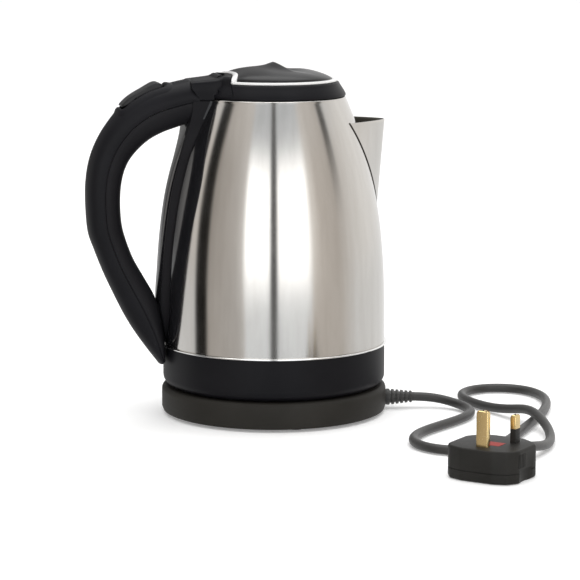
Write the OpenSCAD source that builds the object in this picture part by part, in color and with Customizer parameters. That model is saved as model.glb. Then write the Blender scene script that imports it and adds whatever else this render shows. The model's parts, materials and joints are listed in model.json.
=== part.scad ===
// Cordless electric kettle on a round power base, with its mains lead.
// Millimetres. The Z axis is the axis on which the kettle turns on its base, Z = 0 is the
// plane of the rubber feet, +X is towards the spout and -X towards the handle.

/* [Body] */
// Largest diameter of the steel body, just above the skirt
body_d = 155.6; // [154:0.2:157]
// Diameter of the steel body at its top edge
neck_d = 99.6; // [98:0.2:101]
// Height of the steel body's top edge above the skirt's underside
body_top = 202; // [200:0.5:203]
// Thickness of the steel sheet
steel_t = 0.6; // [0.5:0.1:0.8]

/* [Skirt] */
// Diameter of the plastic skirt
skirt_d = 156; // [155:0.2:157]
// Height of the skirt
skirt_h = 29; // [27:0.5:29]
// Wall thickness of the skirt
skirt_t = 2.6; // [2:0.1:3]

/* [Spout] */
// Distance of the spout's tip from the body's axis
spout_reach = 80; // [78:0.5:82]
// Height of the spout's mouth
spout_top = 184.5; // [182:0.5:186]
// Half width of the spout where it meets the body at its mouth
spout_half_w = 33; // [30:0.5:34]

/* [Lid] */
// Diameter of the filling mouth
mouth_d = 78.4; // [78:0.1:79]
// Diameter of the bright trim ring round the lid
trim_d = 88.4; // [87:0.2:89]

/* [Handle] */
// Wall thickness of the handle shells
grip_t = 2.2; // [1.8:0.1:2.6]
// Width of the rocker in the top of the handle
rocker_w = 16; // [14:0.5:17]

/* [Power base] */
// Diameter of the power base
base_d = 158; // [157:0.5:160]
// Height of the power base's seating ring
base_h = 20; // [19.5:0.5:21]
// Outer diameter of the central connector
connector_d = 26.4; // [26:0.1:26.6]

/* [Mains lead] */
// Diameter of the mains lead
cord_d = 6.4; // [6:0.1:7]

/* [Hidden] */

$fn = 96;
fit = 0.3;              // gap between pieces that move past each other
seat_z = base_h + fit;  // height of the skirt's underside when the kettle stands on its base

// ---- Curves and lofts ------------------------------------------------------------------

function clamped(list, i) = list[max(0, min(len(list) - 1, i))];

// Point on the smooth curve through p1 and p2
function curve_point(p0, p1, p2, p3, t) =
    0.5 * (2 * p1 + (p2 - p0) * t + (2 * p0 - 5 * p1 + 4 * p2 - p3) * t * t
        + (3 * p1 - p0 - 3 * p2 + p3) * t * t * t);

// Smooth curve through every entry of a list, with n steps between entries
function smooth(list, n) = [
    for (i = [0 : len(list) - 2]) for (k = [0 : n - 1])
        curve_point(clamped(list, i - 1), list[i], list[i + 1], clamped(list, i + 2), k / n),
    list[len(list) - 1],
];

// Flexible line drawn by a list of points, with n steps between them
function flowing(list, n) = [
    for (i = [0 : len(list) - 2]) for (k = [0 : n - 1]) flow_point(list, i, k / n),
    flow_point(list, len(list) - 2, 1),
];
function flow_point(list, i, t) =
    (pow(1 - t, 3) * clamped(list, i - 1) + (3 * t * t * t - 6 * t * t + 4) * list[i]
        + (3 * t * t + 3 * t + 1 - 3 * t * t * t) * list[i + 1]
        + t * t * t * clamped(list, i + 2)) / 6;

function flatten(rings) = [for (ring = rings) for (p = ring) p];

// Closed solid through rings of equal point count. A strip's rings go out along one side and
// back along the other, so that its ends close between facing points.
module loft(rings, strip = false) {
    n = len(rings[0]);
    last = (len(rings) - 1) * n;
    sides = [
        for (r = [0 : len(rings) - 2]) for (k = [0 : n - 1])
            for (tri = [[0, 2, 1], [0, 3, 2]])
                let (quad = [r * n + k, r * n + (k + 1) % n,
                             (r + 1) * n + (k + 1) % n, (r + 1) * n + k])
                [quad[tri[0]], quad[tri[1]], quad[tri[2]]]
    ];
    end = strip ? [for (k = [0 : n / 2 - 2]) [k, k + 1, n - 2 - k, n - 1 - k]]
        : [[for (k = [0 : n - 1]) k]];
    caps = concat(end, [for (face = end) [for (k = [len(face) - 1 : -1 : 0]) last + face[k]]]);
    polyhedron(flatten(rings), concat(sides, caps));
}

module tube(r_out, r_in, z0, z1) {
    translate([0, 0, z0]) difference() {
        cylinder(h = z1 - z0, r = r_out);
        translate([0, 0, -1]) cylinder(h = z1 - z0 + 2, r = r_in);
    }
}

module disc(r, z0, z1) {
    translate([0, 0, z0]) cylinder(h = z1 - z0, r = r);
}

// Rod along Y through (x, z)
module cross_rod(x, z, r, half_length) {
    translate([x, 0, z]) rotate([90, 0, 0]) cylinder(h = 2 * half_length, r = r, center = true);
}

// Outline in the X-Z plane given a thickness along Y
module side_plate(points, y0, y1) {
    translate([0, y1, 0]) rotate([90, 0, 0]) linear_extrude(height = y1 - y0) polygon(points);
}

// Pan-head screw whose head's top is at the origin, its shank pointing down
module screw(head_r, head_h, shank_r, length) {
    difference() {
        translate([0, 0, -head_h]) cylinder(h = head_h, r = head_r, $fn = 24);
        translate([-head_r, -0.4, -0.8]) cube([2 * head_r, 0.8, 2]);
    }
    translate([0, 0, -length]) cylinder(h = length - head_h, r = shank_r, $fn = 20);
}

// Places its children in the kettle's own frame, whose zero is the skirt's underside
module in_kettle() {
    translate([0, 0, seat_z]) children();
}

// ---- Body ------------------------------------------------------------------------------

body_foot = skirt_h + 1.4;  // where the sheet starts, above the trim ring
belly_z = 45;               // the body is straight below this height
shoulder_r = 1.6;           // rounding of the body's top edge
floor_z = 34;               // underside of the vessel's floor

function body_r(z) = body_d / 2
    - (body_d - neck_d) / 2 * pow(max(0, z - belly_z) / (body_top - belly_z), 2.5);

body_levels = [for (k = [0 : 34])
    body_foot + (body_top - shoulder_r - body_foot) * (1 - pow(1 - k / 34, 1.3))];

function body_wall(inset) = [for (z = body_levels) [body_r(z) - inset, z]];

function shoulder(inset) =
    let (cx = body_r(body_top - shoulder_r) - shoulder_r, cz = body_top - shoulder_r)
    [for (a = [15 : 15 : 90]) [cx + (shoulder_r - inset) * cos(a), cz + (shoulder_r - inset) * sin(a)]];

window_low = 140;   // lower edge of the opening behind the spout
window_w = 34;      // its width

module vessel() {
    color("silver") in_kettle() difference() {
        rotate_extrude() polygon(concat(
            body_wall(0), shoulder(0),
            [[45.5, body_top], [45.5, body_top - steel_t]],
            [for (k = [len(shoulder(0)) - 1 : -1 : 0]) shoulder(steel_t)[k]],
            [for (k = [len(body_levels) - 1 : -1 : 0]) body_wall(steel_t)[k]]));
        side_plate([[40, window_low + 16], [52, window_low], [90, window_low],
                    [90, spout_top - 4], [40, spout_top - 4]], -window_w / 2, window_w / 2);
    }
}

module vessel_floor() {
    color("silver") in_kettle() {
        disc(body_r(floor_z) - steel_t - 0.1, floor_z, floor_z + 0.8);
        tube(body_r(floor_z) - steel_t - 0.1, body_r(floor_z) - steel_t - 0.9, floor_z - 3, floor_z);
    }
}

// ---- Spout -----------------------------------------------------------------------------

spout_low = 119;    // where the spout's ridge runs out into the body
spout_wall = 0.8;   // thickness of the spout's sheet

// The ridge leans out slightly from the bottom to the mouth
function spout_tip(z) = spout_reach
    - (spout_reach - body_r(spout_low) - 0.9) * (spout_top - z) / (spout_top - spout_low);
function spout_half(z) = max(1.2, spout_half_w * pow((z - spout_low) / (spout_top - spout_low), 0.65));

// One side of the spout's section: from the seam on the body to the ridge
function spout_side(z, inset, y_sign, n) =
    let (w = spout_half(z), seam = [sqrt(pow(body_r(z) + 0.15, 2) - w * w), w],
         tip = [spout_tip(z) - inset * 1.35, 0],
         edge_w = max(0.4, w - inset * 1.5),
         edge = [sqrt(pow(body_r(z) + 0.15, 2) - edge_w * edge_w), edge_w],
         knee = [tip[0] - 0.02 * w, 0.3 * edge[1]])
    [for (k = [0 : n]) let (t = k / n,
        p = edge * (1 - t) * (1 - t) + knee * 2 * t * (1 - t) + tip * t * t)
        [p[0], y_sign * p[1], z]];

function reversed(list) = [for (k = [len(list) - 1 : -1 : 0]) list[k]];

function spout_ring(z) =
    let (n = 8, outer = spout_side(z, 0, -1, n), inner = spout_side(z, spout_wall, -1, n))
    concat(outer, [for (k = [n - 1 : -1 : 0]) [outer[k][0], -outer[k][1], z]],
        [for (p = inner) [p[0], -p[1], z]], [for (k = [n - 1 : -1 : 0]) inner[k]]);

module spout() {
    color("silver") in_kettle()
        loft([for (k = [0 : 18]) spout_ring(spout_low + 1 + (spout_top - spout_low - 1) * k / 18)],
            strip = true);
}

strainer_gap = 0.2;   // between the strainer and the body's wall

module spout_strainer() {
    levels = [for (k = [0 : 12]) window_low - 4 + (spout_top - window_low + 4) * k / 12];
    outer = steel_t + strainer_gap;
    color("gainsboro") in_kettle() difference() {
        rotate([0, 0, -18]) rotate_extrude(angle = 36, $fn = 180) polygon(concat(
            [for (z = levels) [body_r(z) - outer, z]],
            [for (k = [12 : -1 : 0]) [body_r(levels[k]) - outer - 0.6, levels[k]]]));
        for (row = [0 : 5]) for (col = [-3 : 3])
            translate([30, col * 4.4, window_low + 9 + row * 5])
                rotate([0, 90, 0]) cylinder(h = 60, r = 1.3, $fn = 16);
    }
}

// ---- Skirt, trim and bottom ------------------------------------------------------------

skirt_r = skirt_d / 2;
skirt_round = 7;     // rounding of the skirt's lower edge
lip_r = 66;          // inner edge of the ring that the kettle stands on

function arc(cx, cz, r, a0, a1, n) =
    [for (k = [0 : n]) let (a = a0 + (a1 - a0) * k / n) [cx + r * cos(a), cz + r * sin(a)]];

module skirt() {
    c = skirt_r - skirt_round;
    color([0.13, 0.13, 0.14]) in_kettle() rotate_extrude() polygon(concat(
        [[lip_r, 0]], arc(c, skirt_round, skirt_round, -90, 0, 8),
        [[skirt_r, skirt_h - 0.6], [skirt_r - 0.6, skirt_h], [skirt_r - skirt_t, skirt_h]],
        arc(c, skirt_round, skirt_round - skirt_t, 0, -90, 8), [[lip_r, skirt_t]]));
}

trim_r = 79.6;       // outer radius of the bright bead above the skirt

module trim_ring() {
    color("white") in_kettle() rotate_extrude() polygon(concat(
        [[skirt_r - skirt_t, skirt_h + 0.1], [trim_r - 0.6, skirt_h + 0.1]],
        arc(trim_r - 0.6, skirt_h + 0.7, 0.6, -75, 75, 5),
        [[trim_r - 0.6, skirt_h + 1.3], [skirt_r - skirt_t, skirt_h + 1.3]]));
}

cover_z = 3;             // underside of the bottom cover
coupler_r = 16.4;        // outer radius of the kettle's half of the coupler
bottom_screw_r = 56;     // radius on which the bottom cover's screws lie
bottom_screw_angles = [30, 150, 270];

module bottom_cover() {
    color([0.13, 0.13, 0.14]) in_kettle() difference() {
        union() {
            disc(70.5, cover_z, cover_z + 2);
            tube(coupler_r + 2.4, coupler_r + 0.3, cover_z, cover_z + 9);
        }
        disc(coupler_r + 0.3, cover_z - 1, cover_z + 10);
        for (a = bottom_screw_angles) rotate([0, 0, a]) translate([bottom_screw_r, 0, 0]) {
            disc(1.7, cover_z - 1, cover_z + 3);
            disc(3.4, cover_z - 1, cover_z + 1);
        }
        for (a = [0 : 60 : 300]) rotate([0, 0, a + 15]) translate([64, 0, 0])
            disc(2, cover_z - 1, cover_z + 3);
    }
}

module bottom_screws() {
    color("dimgray") in_kettle() for (a = bottom_screw_angles)
        rotate([0, 0, a]) translate([bottom_screw_r, 0, cover_z - 0.3])
            rotate([180, 0, 0]) screw(3.1, 1.2, 1.5, 12);
}

// ---- Heater and control ----------------------------------------------------------------

element_r = 50;      // radius of the heating element's ring
element_tube = 3.2;  // radius of its sheath
plate_z = 30.6;      // underside of the aluminium plate

module diffuser_plate() {
    color("darkgray") in_kettle() disc(62, plate_z, floor_z - 0.1);
}

module heating_element() {
    z = plate_z - element_tube - 0.05;
    color("gray") in_kettle() {
        rotate([0, 0, 30]) rotate_extrude(angle = 300, $fn = 120)
            translate([element_r, z]) circle(r = element_tube, $fn = 24);
        // cold ends, for the leads
        for (a = [34, 326]) rotate([0, 0, a]) translate([element_r, 0, 0])
            disc(2.4, z - 14, z);
    }
}

control_z = 13.8;    // underside of the control's housing

module dry_boil_control() {
    color("ivory") in_kettle() difference() {
        translate([-28, -22, control_z]) cube([56, 44, plate_z - 1.2 - control_z]);
        for (x = [-15, 15]) translate([x, 0, 0]) disc(9.4, plate_z - 2.4, plate_z);
        for (y = [-12, 0, 12]) translate([-29, y - 2.5, control_z + 3]) cube([8, 5, 8]);
    }
}

module dry_boil_bimetals() {
    color("goldenrod") in_kettle() for (x = [-15, 15]) translate([x, 0, 0])
        disc(9, plate_z - 2.2, plate_z - 1.6);
}

groove_in = 5.4;     // inner radius of the connector's groove
groove_out = 10.2;   // its outer radius
sleeve_in = 5.9;     // inner radius of the sleeve that enters it
sleeve_out = 9.1;    // its outer radius

module kettle_coupler() {
    color([0.2, 0.2, 0.21]) in_kettle() {
        tube(coupler_r, connector_d / 2 + 0.5, 0.8, control_z - 0.1);
        tube(coupler_r, 1.75, 10.6, control_z - 0.1);
        tube(sleeve_out, sleeve_in, 1.5, 10.7);
    }
}

module coupler_contacts() {
    color("gold") in_kettle() {
        for (z = [3, 7]) tube(sleeve_out + 0.5, sleeve_out + 0.02, z, z + 1.8);
        disc(1.7, 3, control_z - 0.2);
    }
}

// ---- Collar and top cover --------------------------------------------------------------

mouth_r = mouth_d / 2;
rim_z = 212;         // top of the collar
hinge_x = -39.8;     // axis of the lid's hinge
hinge_z = 214.5;
knuckle_r = 3.8;     // rounding of the top cover about the hinge axis

module collar() {
    color([0.13, 0.13, 0.14]) in_kettle() difference() {
        rotate_extrude() polygon([
            [mouth_r, 198], [mouth_r + 2, 198], [mouth_r + 2, body_top + 0.2],
            [49.4, body_top + 0.2], [50.2, body_top + 1.2], [48.6, 206.5], [46, rim_z - 1.2],
            [44.8, rim_z], [mouth_r, rim_z]]);
        translate([-60, -60, body_top + 2.6]) cube([60 + hinge_x + knuckle_r + 0.2, 120, 20]);
    }
}

cover_front = hinge_x + knuckle_r;
cover_back = -61.2;
handle_screw_x = -56;
handle_screw_ys = [-8, 8];

pocket_w = 24.8;     // width of the pocket for the lid's knuckle

module top_cover() {
    profile = concat(
        [[cover_back, 201], [-51.8, 201], [-50.8, body_top + 2.9], [cover_front, body_top + 2.9]],
        [[cover_front, hinge_z]], arc(hinge_x, hinge_z, knuckle_r, 15, 90, 5),
        [[-46, 217.4], [-53, 216.6], [cover_back, 215.9]]);
    color([0.13, 0.13, 0.14]) in_kettle() difference() {
        intersection() {
            side_plate(profile, -40, 40);
            union() {
                linear_extrude(height = 240) polygon([
                    [cover_back, -17.5], [-54, -18.5], [-46, -20], [cover_front + 1, -20],
                    [cover_front + 1, 20], [-46, 20], [-54, 18.5], [cover_back, 17.5]]);
                // shoulders that carry on the collar's round
                rotate_extrude() polygon([[0, 200], [49.6, 200], [49.6, 204.5], [48.6, 206.5],
                    [46, rim_z - 1.2], [45, rim_z + 1], [44.4, 220], [0, 220]]);
            }
        }
        // hollow for the steam's way to the switch
        translate([cover_back - 1, -13, 204.8]) cube([17.5, 26, 9]);
        // pocket for the lid's knuckle
        translate([hinge_x - knuckle_r + 0.1, -pocket_w / 2, hinge_z - 3.7]) cube([12, pocket_w, 20]);
        cross_rod(hinge_x, hinge_z, 1.52, 18);
        // room for the lid in the mouth
        disc(mouth_r + 0.3, 200, rim_z - 0.1);
        for (y = handle_screw_ys) translate([handle_screw_x, y, 0]) disc(1.6, 200, 206);
    }
}

module hinge_pin() {
    color("silver") in_kettle() cross_rod(hinge_x, hinge_z, 1.5, 17.5);
}

// ---- Handle ----------------------------------------------------------------------------

// Sections of the grip from the top cover to its foot:
// outer edge x, z, inner edge x, z, half width
grip_stations = [
    [-61.5, 215.9, -61.5, 184, 17.5], [-74, 213.4, -70, 181.5, 17], [-86, 210.5, -80, 178, 16.5],
    [-97, 205.2, -89, 173.2, 16], [-107.5, 197.2, -96.5, 166.8, 15.5],
    [-117, 185.5, -102.5, 159.5, 15], [-124.5, 173.5, -106, 152, 14.5],
    [-129.6, 160.5, -108, 143.5, 14.5], [-132.2, 146, -108.8, 135, 14.5],
    [-132.6, 130, -108.8, 125, 14.5], [-131.2, 111, -107.8, 114.5, 14.5],
    [-127, 98, -105, 104, 14.5], [-120.8, 82, -100.5, 91.5, 14.5], [-113.5, 66, -95, 79.5, 14.5],
    [-105.5, 50, -88, 65.5, 14.5], [-97.5, 37, -82.5, 52, 14], [-89.5, 25.5, -80.6, 36, 12.5],
    [-83.2, 17, -80.2, 21, 9],
];
squareness = 2.5;    // exponent of the grip's rounded section

function signed_power(v, p) = sign(v) * pow(abs(v), p);

// Point of a grip section at an angle from its outward direction
function grip_point(s, angle, inset) =
    let (outer = [s[0], s[1]], inner = [s[2], s[3]], depth = norm(outer - inner) / 2,
         mid = (outer + inner) / 2, dir = (outer - inner) / (2 * depth),
         u = max(0.3, depth - inset) * signed_power(cos(angle), 2 / squareness),
         v = max(0.3, s[4] - inset) * signed_power(sin(angle), 2 / squareness))
    [mid[0] + dir[0] * u, v, mid[1] + dir[1] * u];

function grip_ring(s, a0, a1, n) = concat(
    [for (k = [0 : n]) grip_point(s, a0 + (a1 - a0) * k / n, 0)],
    [for (k = [n : -1 : 0]) grip_point(s, a0 + (a1 - a0) * k / n, min(grip_t, norm([s[0] - s[2], s[1] - s[3]]) / 3))]);

// One half of the hollow grip, between two angles about its section
module grip_shell(a0, a1) {
    loft([for (s = smooth(grip_stations, 2)) grip_ring(s, a0, a1, 12)], strip = true);
}

// The rocker's own frame: x along the top of the handle towards the lid, z outwards
rocker_at = [-93.6, 0, 205.4];
rocker_tilt = -24.9;
pivot_drop = 4;      // depth of the rocker's pivot under its frame's origin

module at_rocker() {
    translate(rocker_at) rotate([0, rocker_tilt, 0]) children();
}

module handle_outer() {
    color([0.12, 0.12, 0.13]) in_kettle() difference() {
        grip_shell(-89.5, 89.5);
        at_rocker() translate([-17.4, -rocker_w / 2 - 0.4, -12]) cube([34.8, rocker_w + 0.8, 30]);
    }
}

module handle_inner() {
    color([0.15, 0.15, 0.16]) in_kettle() grip_shell(90.5, 269.5);
}

// Levels of the bracket that follows the body: height, spine x, half width on the body
bracket_levels = [
    [31.5, -79, 14], [38, -79.6, 21], [46, -80.4, 24.6], [56, -82.4, 26.4], [67, -84.6, 28],
    [82, -84.6, 29.4], [100, -83.4, 31], [118, -81.4, 32.8], [135, -78.6, 33.4],
    [150, -75.4, 33], [165, -70.8, 31], [179, -66.6, 28], [190, -62.6, 26], [200.4, -60.8, 24],
];
spine_half = 10;     // half width of the bracket's spine

function bracket_side(level, n) =
    let (z = level[0], w = level[2], wall = body_r(min(z, 199)) + 0.25,
         edge = [-sqrt(wall * wall - w * w), w], rear = [min(level[1], -wall - 1), spine_half * w / 33],
         dip = [(-wall * 0.98 + rear[0]) / 2 + 1, rear[1] + 1.5])
    [for (k = [0 : n]) let (t = k / n)
        rear * (1 - t) * (1 - t) + dip * 2 * t * (1 - t) + (edge + [-0.7, 0]) * t * t];

function bracket_ring(level) =
    let (n = 7, z = level[0], w = level[2], wall = body_r(min(z, 199)) + 0.25,
         side = bracket_side(level, n), a = asin(w / wall))
    concat([for (k = [n : -1 : 0]) [side[k][0], side[k][1], z]],
        [for (k = [0 : n]) [side[k][0], -side[k][1], z]],
        [for (k = [0 : 2 * n + 1]) let (b = -a + 2 * a * k / (2 * n + 1))
            [-wall * cos(b), wall * sin(b), z]]);

module handle_bracket() {
    color([0.1, 0.1, 0.11]) in_kettle() difference() {
        loft([for (level = smooth(bracket_levels, 2)) bracket_ring(level)], strip = true);
        for (y = handle_screw_ys) translate([handle_screw_x, y, 0]) disc(1.35, 194, 210);
        // step under the end of the grip
        translate([-72, -30, 182.2]) cube([72 - 61.3, 60, 30]);
    }
}

module handle_screws() {
    color("dimgray") in_kettle() for (y = handle_screw_ys)
        translate([handle_screw_x, y, 206.1]) screw(2.6, 1.2, 1.3, 11);
}

// ---- Switch ----------------------------------------------------------------------------

module rocker_switch() {
    top = [[-16, 0.2], [-14, 1.7], [-11.5, 2.8], [-7.4, 3.8], [-2, 4.4], [2.5, 4.6], [8, 4.7],
           [11.6, 3.7], [14, 2.2], [16, 0.2]];
    color([0.1, 0.1, 0.11]) in_kettle() at_rocker() difference() {
        union() {
            side_plate(concat(top, [[16, -1], [-16, -1]]), -rocker_w / 2, rocker_w / 2);
            side_plate([[-3, -0.5], [3, -0.5], [2.4, -pivot_drop - 1.6], [-2.4, -pivot_drop - 1.6]],
                -3.6, 3.6);
        }
        cross_rod(0, -pivot_drop, 1.3, 5);
    }
}

module switch_pin() {
    color("silver") in_kettle() at_rocker() cross_rod(0, -pivot_drop, 1.25, 6.4);
}

module switch_housing() {
    color([0.75, 0.74, 0.7]) in_kettle() at_rocker() difference() {
        union() {
            translate([-11, -8, -20]) cube([22, 16, 12]);
            for (y = [-6.4, 4.2]) side_plate([[-4, -8.2], [4, -8.2], [2.2, -2.2], [-2.2, -2.2]],
                y, y + 2.2);
        }
        cross_rod(0, -pivot_drop, 1.27, 7);
        translate([11 - 3, 0, -14]) rotate([0, 90, 0]) cylinder(h = 4, r = 5.2);
    }
}

module steam_bimetal() {
    color("goldenrod") in_kettle() at_rocker() translate([9, 0, -14])
        rotate([0, 90, 0]) cylinder(h = 0.5, r = 4.9);
}

module steam_duct() {
    color("whitesmoke") in_kettle() translate([-70, 0, 208]) rotate([0, 90, 0]) difference() {
        cylinder(h = 24.8, r = 3, $fn = 40);
        translate([0, 0, -1]) cylinder(h = 28, r = 2.2, $fn = 40);
    }
}

// Rings of a round wire through a list of points, which never runs along flat_axis
function wire_rings(path, r, sides, flat_axis) = [
    for (i = [0 : len(path) - 1])
        let (d = clamped(path, i + 1) - clamped(path, i - 1), dir = d / norm(d),
             side = cross(flat_axis, dir), ux = side / norm(side), uy = cross(dir, ux))
        [for (k = [0 : sides - 1]) let (a = 360 * k / sides)
            path[i] + r * (ux * cos(a) + uy * sin(a))]
];

module switch_leads() {
    run = [for (i = [4 : len(grip_stations) - 3]) let (s = grip_stations[i])
        [(s[0] + s[2]) / 2, 0, (s[1] + s[3]) / 2]];
    for (y = [-3, 3]) color("firebrick") in_kettle()
        loft(wire_rings([for (p = run) p + [0, y, 0]], 1.3, 8, [0, 1, 0]));
}

// ---- Lid -------------------------------------------------------------------------------

lid_back = -31.4;    // rear edge of the lid's round part
lid_tail = -35.3;    // rear face of the lid, under the trim's arch
lid_r = 40.6;
lid_z = 213.9;       // underside of the lid's cover
arch_w = 26.2;       // half width of the trim's arch
arch_t = 1.4;        // its thickness

lid_screw_r = 28;    // radius on which the lid's screws lie
lid_screw_angles = [0, 120, 240];

// Height of the lid's crown along its middle, and how square its section is
function crown_h(x) = lookup(x, [[lid_back, 5.7], [-26, 6.8], [-19, 7.8], [-8, 8.6], [2, 8.6],
    [10, 8.1], [20, 6.9], [28, 5.4], [34, 3.6], [38, 1.9], [lid_r, 0.3]]);
function crown_n(x) = lookup(x, [[lid_back, 5], [-15, 3.4], [5, 2.4], [lid_r, 2]]);

// Section of the lid across X, with half width w and height h
function lid_ring(x, w, h, n) = [for (k = [0 : 20]) let (a = 180 * k / 20)
    [x, w * signed_power(cos(a), 2 / n), lid_z + h * pow(sin(a), 2 / n)]];
function lid_width(x) = sqrt(lid_r * lid_r - x * x);

module crown() {
    loft([for (x = concat([lid_back, -27, -22, -17, -12, -8, -4, 0, 4, 8, 12, 16, 20, 24],
                          [28, 31, 34, 36.5, 38.5, 39.8, 40.4]))
        lid_ring(x, lid_width(x), crown_h(x), crown_n(x))]);
}

// Straight piece of the lid's rear section, from x0 to x1, thinner all round by inset
module tail(x0, x1, inset) {
    loft([for (x = [x0, x1]) lid_ring(x, arch_w - inset, crown_h(lid_back) + 0.4 - inset, 5)]);
}

module lid_cover() {
    color([0.14, 0.14, 0.15]) in_kettle() difference() {
        union() {
            crown();
            tail(lid_tail, lid_back + 0.2, arch_t + 0.15);
            // crest behind the finger scoop
            intersection() {
                side_plate([[-14, lid_z + 5], [-14, lid_z + 7.8], [-1.5, lid_z + 11.3],
                            [0.5, lid_z + 11.2], [6, lid_z + 5]], -14, 14);
                translate([4, 0, 0]) disc(18, 0, 300);
            }
        }
        // finger scoop in front of the crest
        translate([14.4, 0, lid_z + 20.6]) sphere(r = 18);
        // hollow underside, and holes for the screws
        translate([-2, 0, 0]) disc(21, lid_z - 1, lid_z + 0.9);
        for (a = lid_screw_angles) rotate([0, 0, a]) translate([lid_screw_r, 0, 0])
            disc(1.35, lid_z - 1, lid_z + 2.6);
    }
}

module lid_trim() {
    color("white") in_kettle() {
        difference() {
            tube(trim_d / 2, lid_r + 0.1, rim_z + 0.3, lid_z);
            translate([-60, -60, 0]) cube([60 + lid_tail - 0.1, 120, 300]);
        }
        // arch over the rear of the lid
        difference() {
            tail(lid_tail - 0.1, lid_back - 0.1, 0);
            tail(lid_tail - 1, lid_back + 1, arch_t);
        }
    }
}

plug_r = 37;         // radius of the lid's plug in the mouth

module lid_frame() {
    color([0.2, 0.2, 0.21]) in_kettle() {
        difference() {
            union() {
                difference() {
                    disc(lid_r - 0.2, rim_z + 0.4, lid_z - 0.1);
                    translate([-60, -60, 0]) cube([60 + lid_tail, 120, 300]);
                }
                difference() {
                    tube(plug_r, plug_r - 2.4, 205.8, rim_z + 0.5);
                    translate([-60, -60, 0]) cube([60 - 25, 120, 300]);
                }
            }
            for (a = lid_screw_angles) rotate([0, 0, a]) translate([lid_screw_r, 0, 0])
                disc(1.6, 200, 230);
        }
        // arm and knuckle
        difference() {
            union() {
                cross_rod(hinge_x, hinge_z, 3.2, 12);
                translate([hinge_x, -12, rim_z + 0.6]) cube([lid_tail - 0.2 - hinge_x, 24, 3.2]);
                translate([lid_tail - 0.5, -12, rim_z + 0.6]) cube([5, 24, lid_z - rim_z - 0.8]);
            }
            cross_rod(hinge_x, hinge_z, 1.56, 13);
        }
    }
}

module lid_plate() {
    color("silver") in_kettle() difference() {
        union() {
            disc(34.6, 203.4, 204.2);
            tube(34.6, 33.8, 204, 211);
        }
        translate([-60, -60, 204.4]) cube([60 - 24.5, 120, 20]);
        for (a = [0 : 45 : 315]) rotate([0, 0, a]) translate([26, 0, 0]) disc(1.5, 200, 206);
    }
}

module lid_seal() {
    color("lightgray") in_kettle() tube(mouth_r - 0.8, 34.7, 203.6, 205.6);
}

module lid_screws() {
    color("dimgray") in_kettle() for (a = lid_screw_angles)
        rotate([0, 0, a]) translate([lid_screw_r, 0, rim_z - 0.9]) rotate([180, 0, 0])
            screw(2.8, 1.2, 1.3, 5);
}

// ---- Power base ------------------------------------------------------------------------

base_r = base_d / 2;
foot_gap = 1.6;      // height of the base plate above the surface
dish_z = base_h - 6.5;
lead_z = 8;          // height of the lead where it leaves the base
lead_angle = -atan2(1, 6);
base_t = 2.2;

function base_top(inset) = concat(
    [[base_r - inset, foot_gap + 0.6]],
    arc(base_r - 3.5, base_h - 3.5, 3.5 - inset, 0, 90, 6),
    [[46, base_h - 0.3 - inset], [42, base_h - 0.8 - inset], [37, base_h - 2.6 - inset],
     [30, dish_z + 1.6 - inset], [24, dish_z + 0.3 - inset], [19, dish_z - inset]]);

connector_r = connector_d / 2;

module base_cover() {
    color([0.17, 0.165, 0.155]) difference() {
        rotate_extrude() polygon(concat(base_top(0),
            [[connector_r + 0.15, dish_z], [connector_r + 0.15, dish_z - base_t]],
            reversed(base_top(base_t))));
        rotate([0, 0, lead_angle]) translate([60, 0, lead_z]) rotate([0, 90, 0])
            cylinder(h = 30, r = 5.7);
    }
}

base_screw_angles = [60, 180, 300];

module base_plate() {
    color([0.13, 0.125, 0.12]) difference() {
        union() {
            disc(base_r - base_t - 0.2, foot_gap, foot_gap + 2);
            for (a = base_screw_angles) rotate([0, 0, a]) translate([50, 0, 0]) disc(4, foot_gap, 12);
        }
        for (a = base_screw_angles) rotate([0, 0, a]) translate([50, 0, 0]) {
            disc(1.7, 0, 13);
            disc(3.6, 0, foot_gap + 1.4);
        }
        for (a = foot_angles) rotate([0, 0, a]) translate([66, 0, 0]) disc(6.1, 0, foot_gap + 0.8);
        along_lead(68) cylinder(h = 12, r = 6.9);
    }
}

foot_angles = [0, 90, 180, 270];

module rubber_feet() {
    color([0.2, 0.2, 0.2]) for (a = foot_angles) rotate([0, 0, a]) translate([66, 0, 0]) {
        disc(6, 0.5, foot_gap + 0.7);
        cylinder(h = 0.5, r1 = 5.4, r2 = 6);
    }
}

module base_screws() {
    color("dimgray") for (a = base_screw_angles) rotate([0, 0, a])
        translate([50, 0, foot_gap + 0.1]) rotate([180, 0, 0]) screw(3.2, 1.2, 1.5, 10);
}

connector_top = 30;
connector_foot = 4.2;

module base_connector() {
    color([0.12, 0.12, 0.13]) difference() {
        union() {
            disc(connector_r, connector_foot, connector_top - 0.8);
            translate([0, 0, connector_top - 0.8]) cylinder(h = 0.8, r1 = connector_r, r2 = connector_r - 0.8);
            disc(20, connector_foot, connector_foot + 3);
        }
        tube(groove_out, groove_in, 7, 40);
        disc(2.1, 16, 40);
    }
}

module base_terminals() {
    color("gold") for (a = [90, 180, 270]) rotate([0, 0, a])
        translate([20.2, -2.4, connector_foot + 0.4]) cube([8, 4.8, 0.8]);
}

module shutter_ring() {
    color([0.3, 0.3, 0.3]) tube(groove_out - 0.5, groove_in + 0.5, seat_z - 3.4, seat_z + 1.1);
}

module shutter_spring() {
    turns = 4;
    steps = 12;
    z0 = 7.8;
    rise = seat_z - 3.4 - 0.8 - z0;
    color("silver") loft(wire_rings([for (k = [0 : turns * steps])
        let (a = 360 * k / steps) [7.8 * cos(a), 7.8 * sin(a), z0 + rise * k / (turns * steps)]],
        0.5, 8, [0, 0, 1]));
}

module along_lead(distance) {
    rotate([0, 0, lead_angle]) translate([distance, 0, lead_z]) rotate([0, 90, 0]) children();
}

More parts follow.
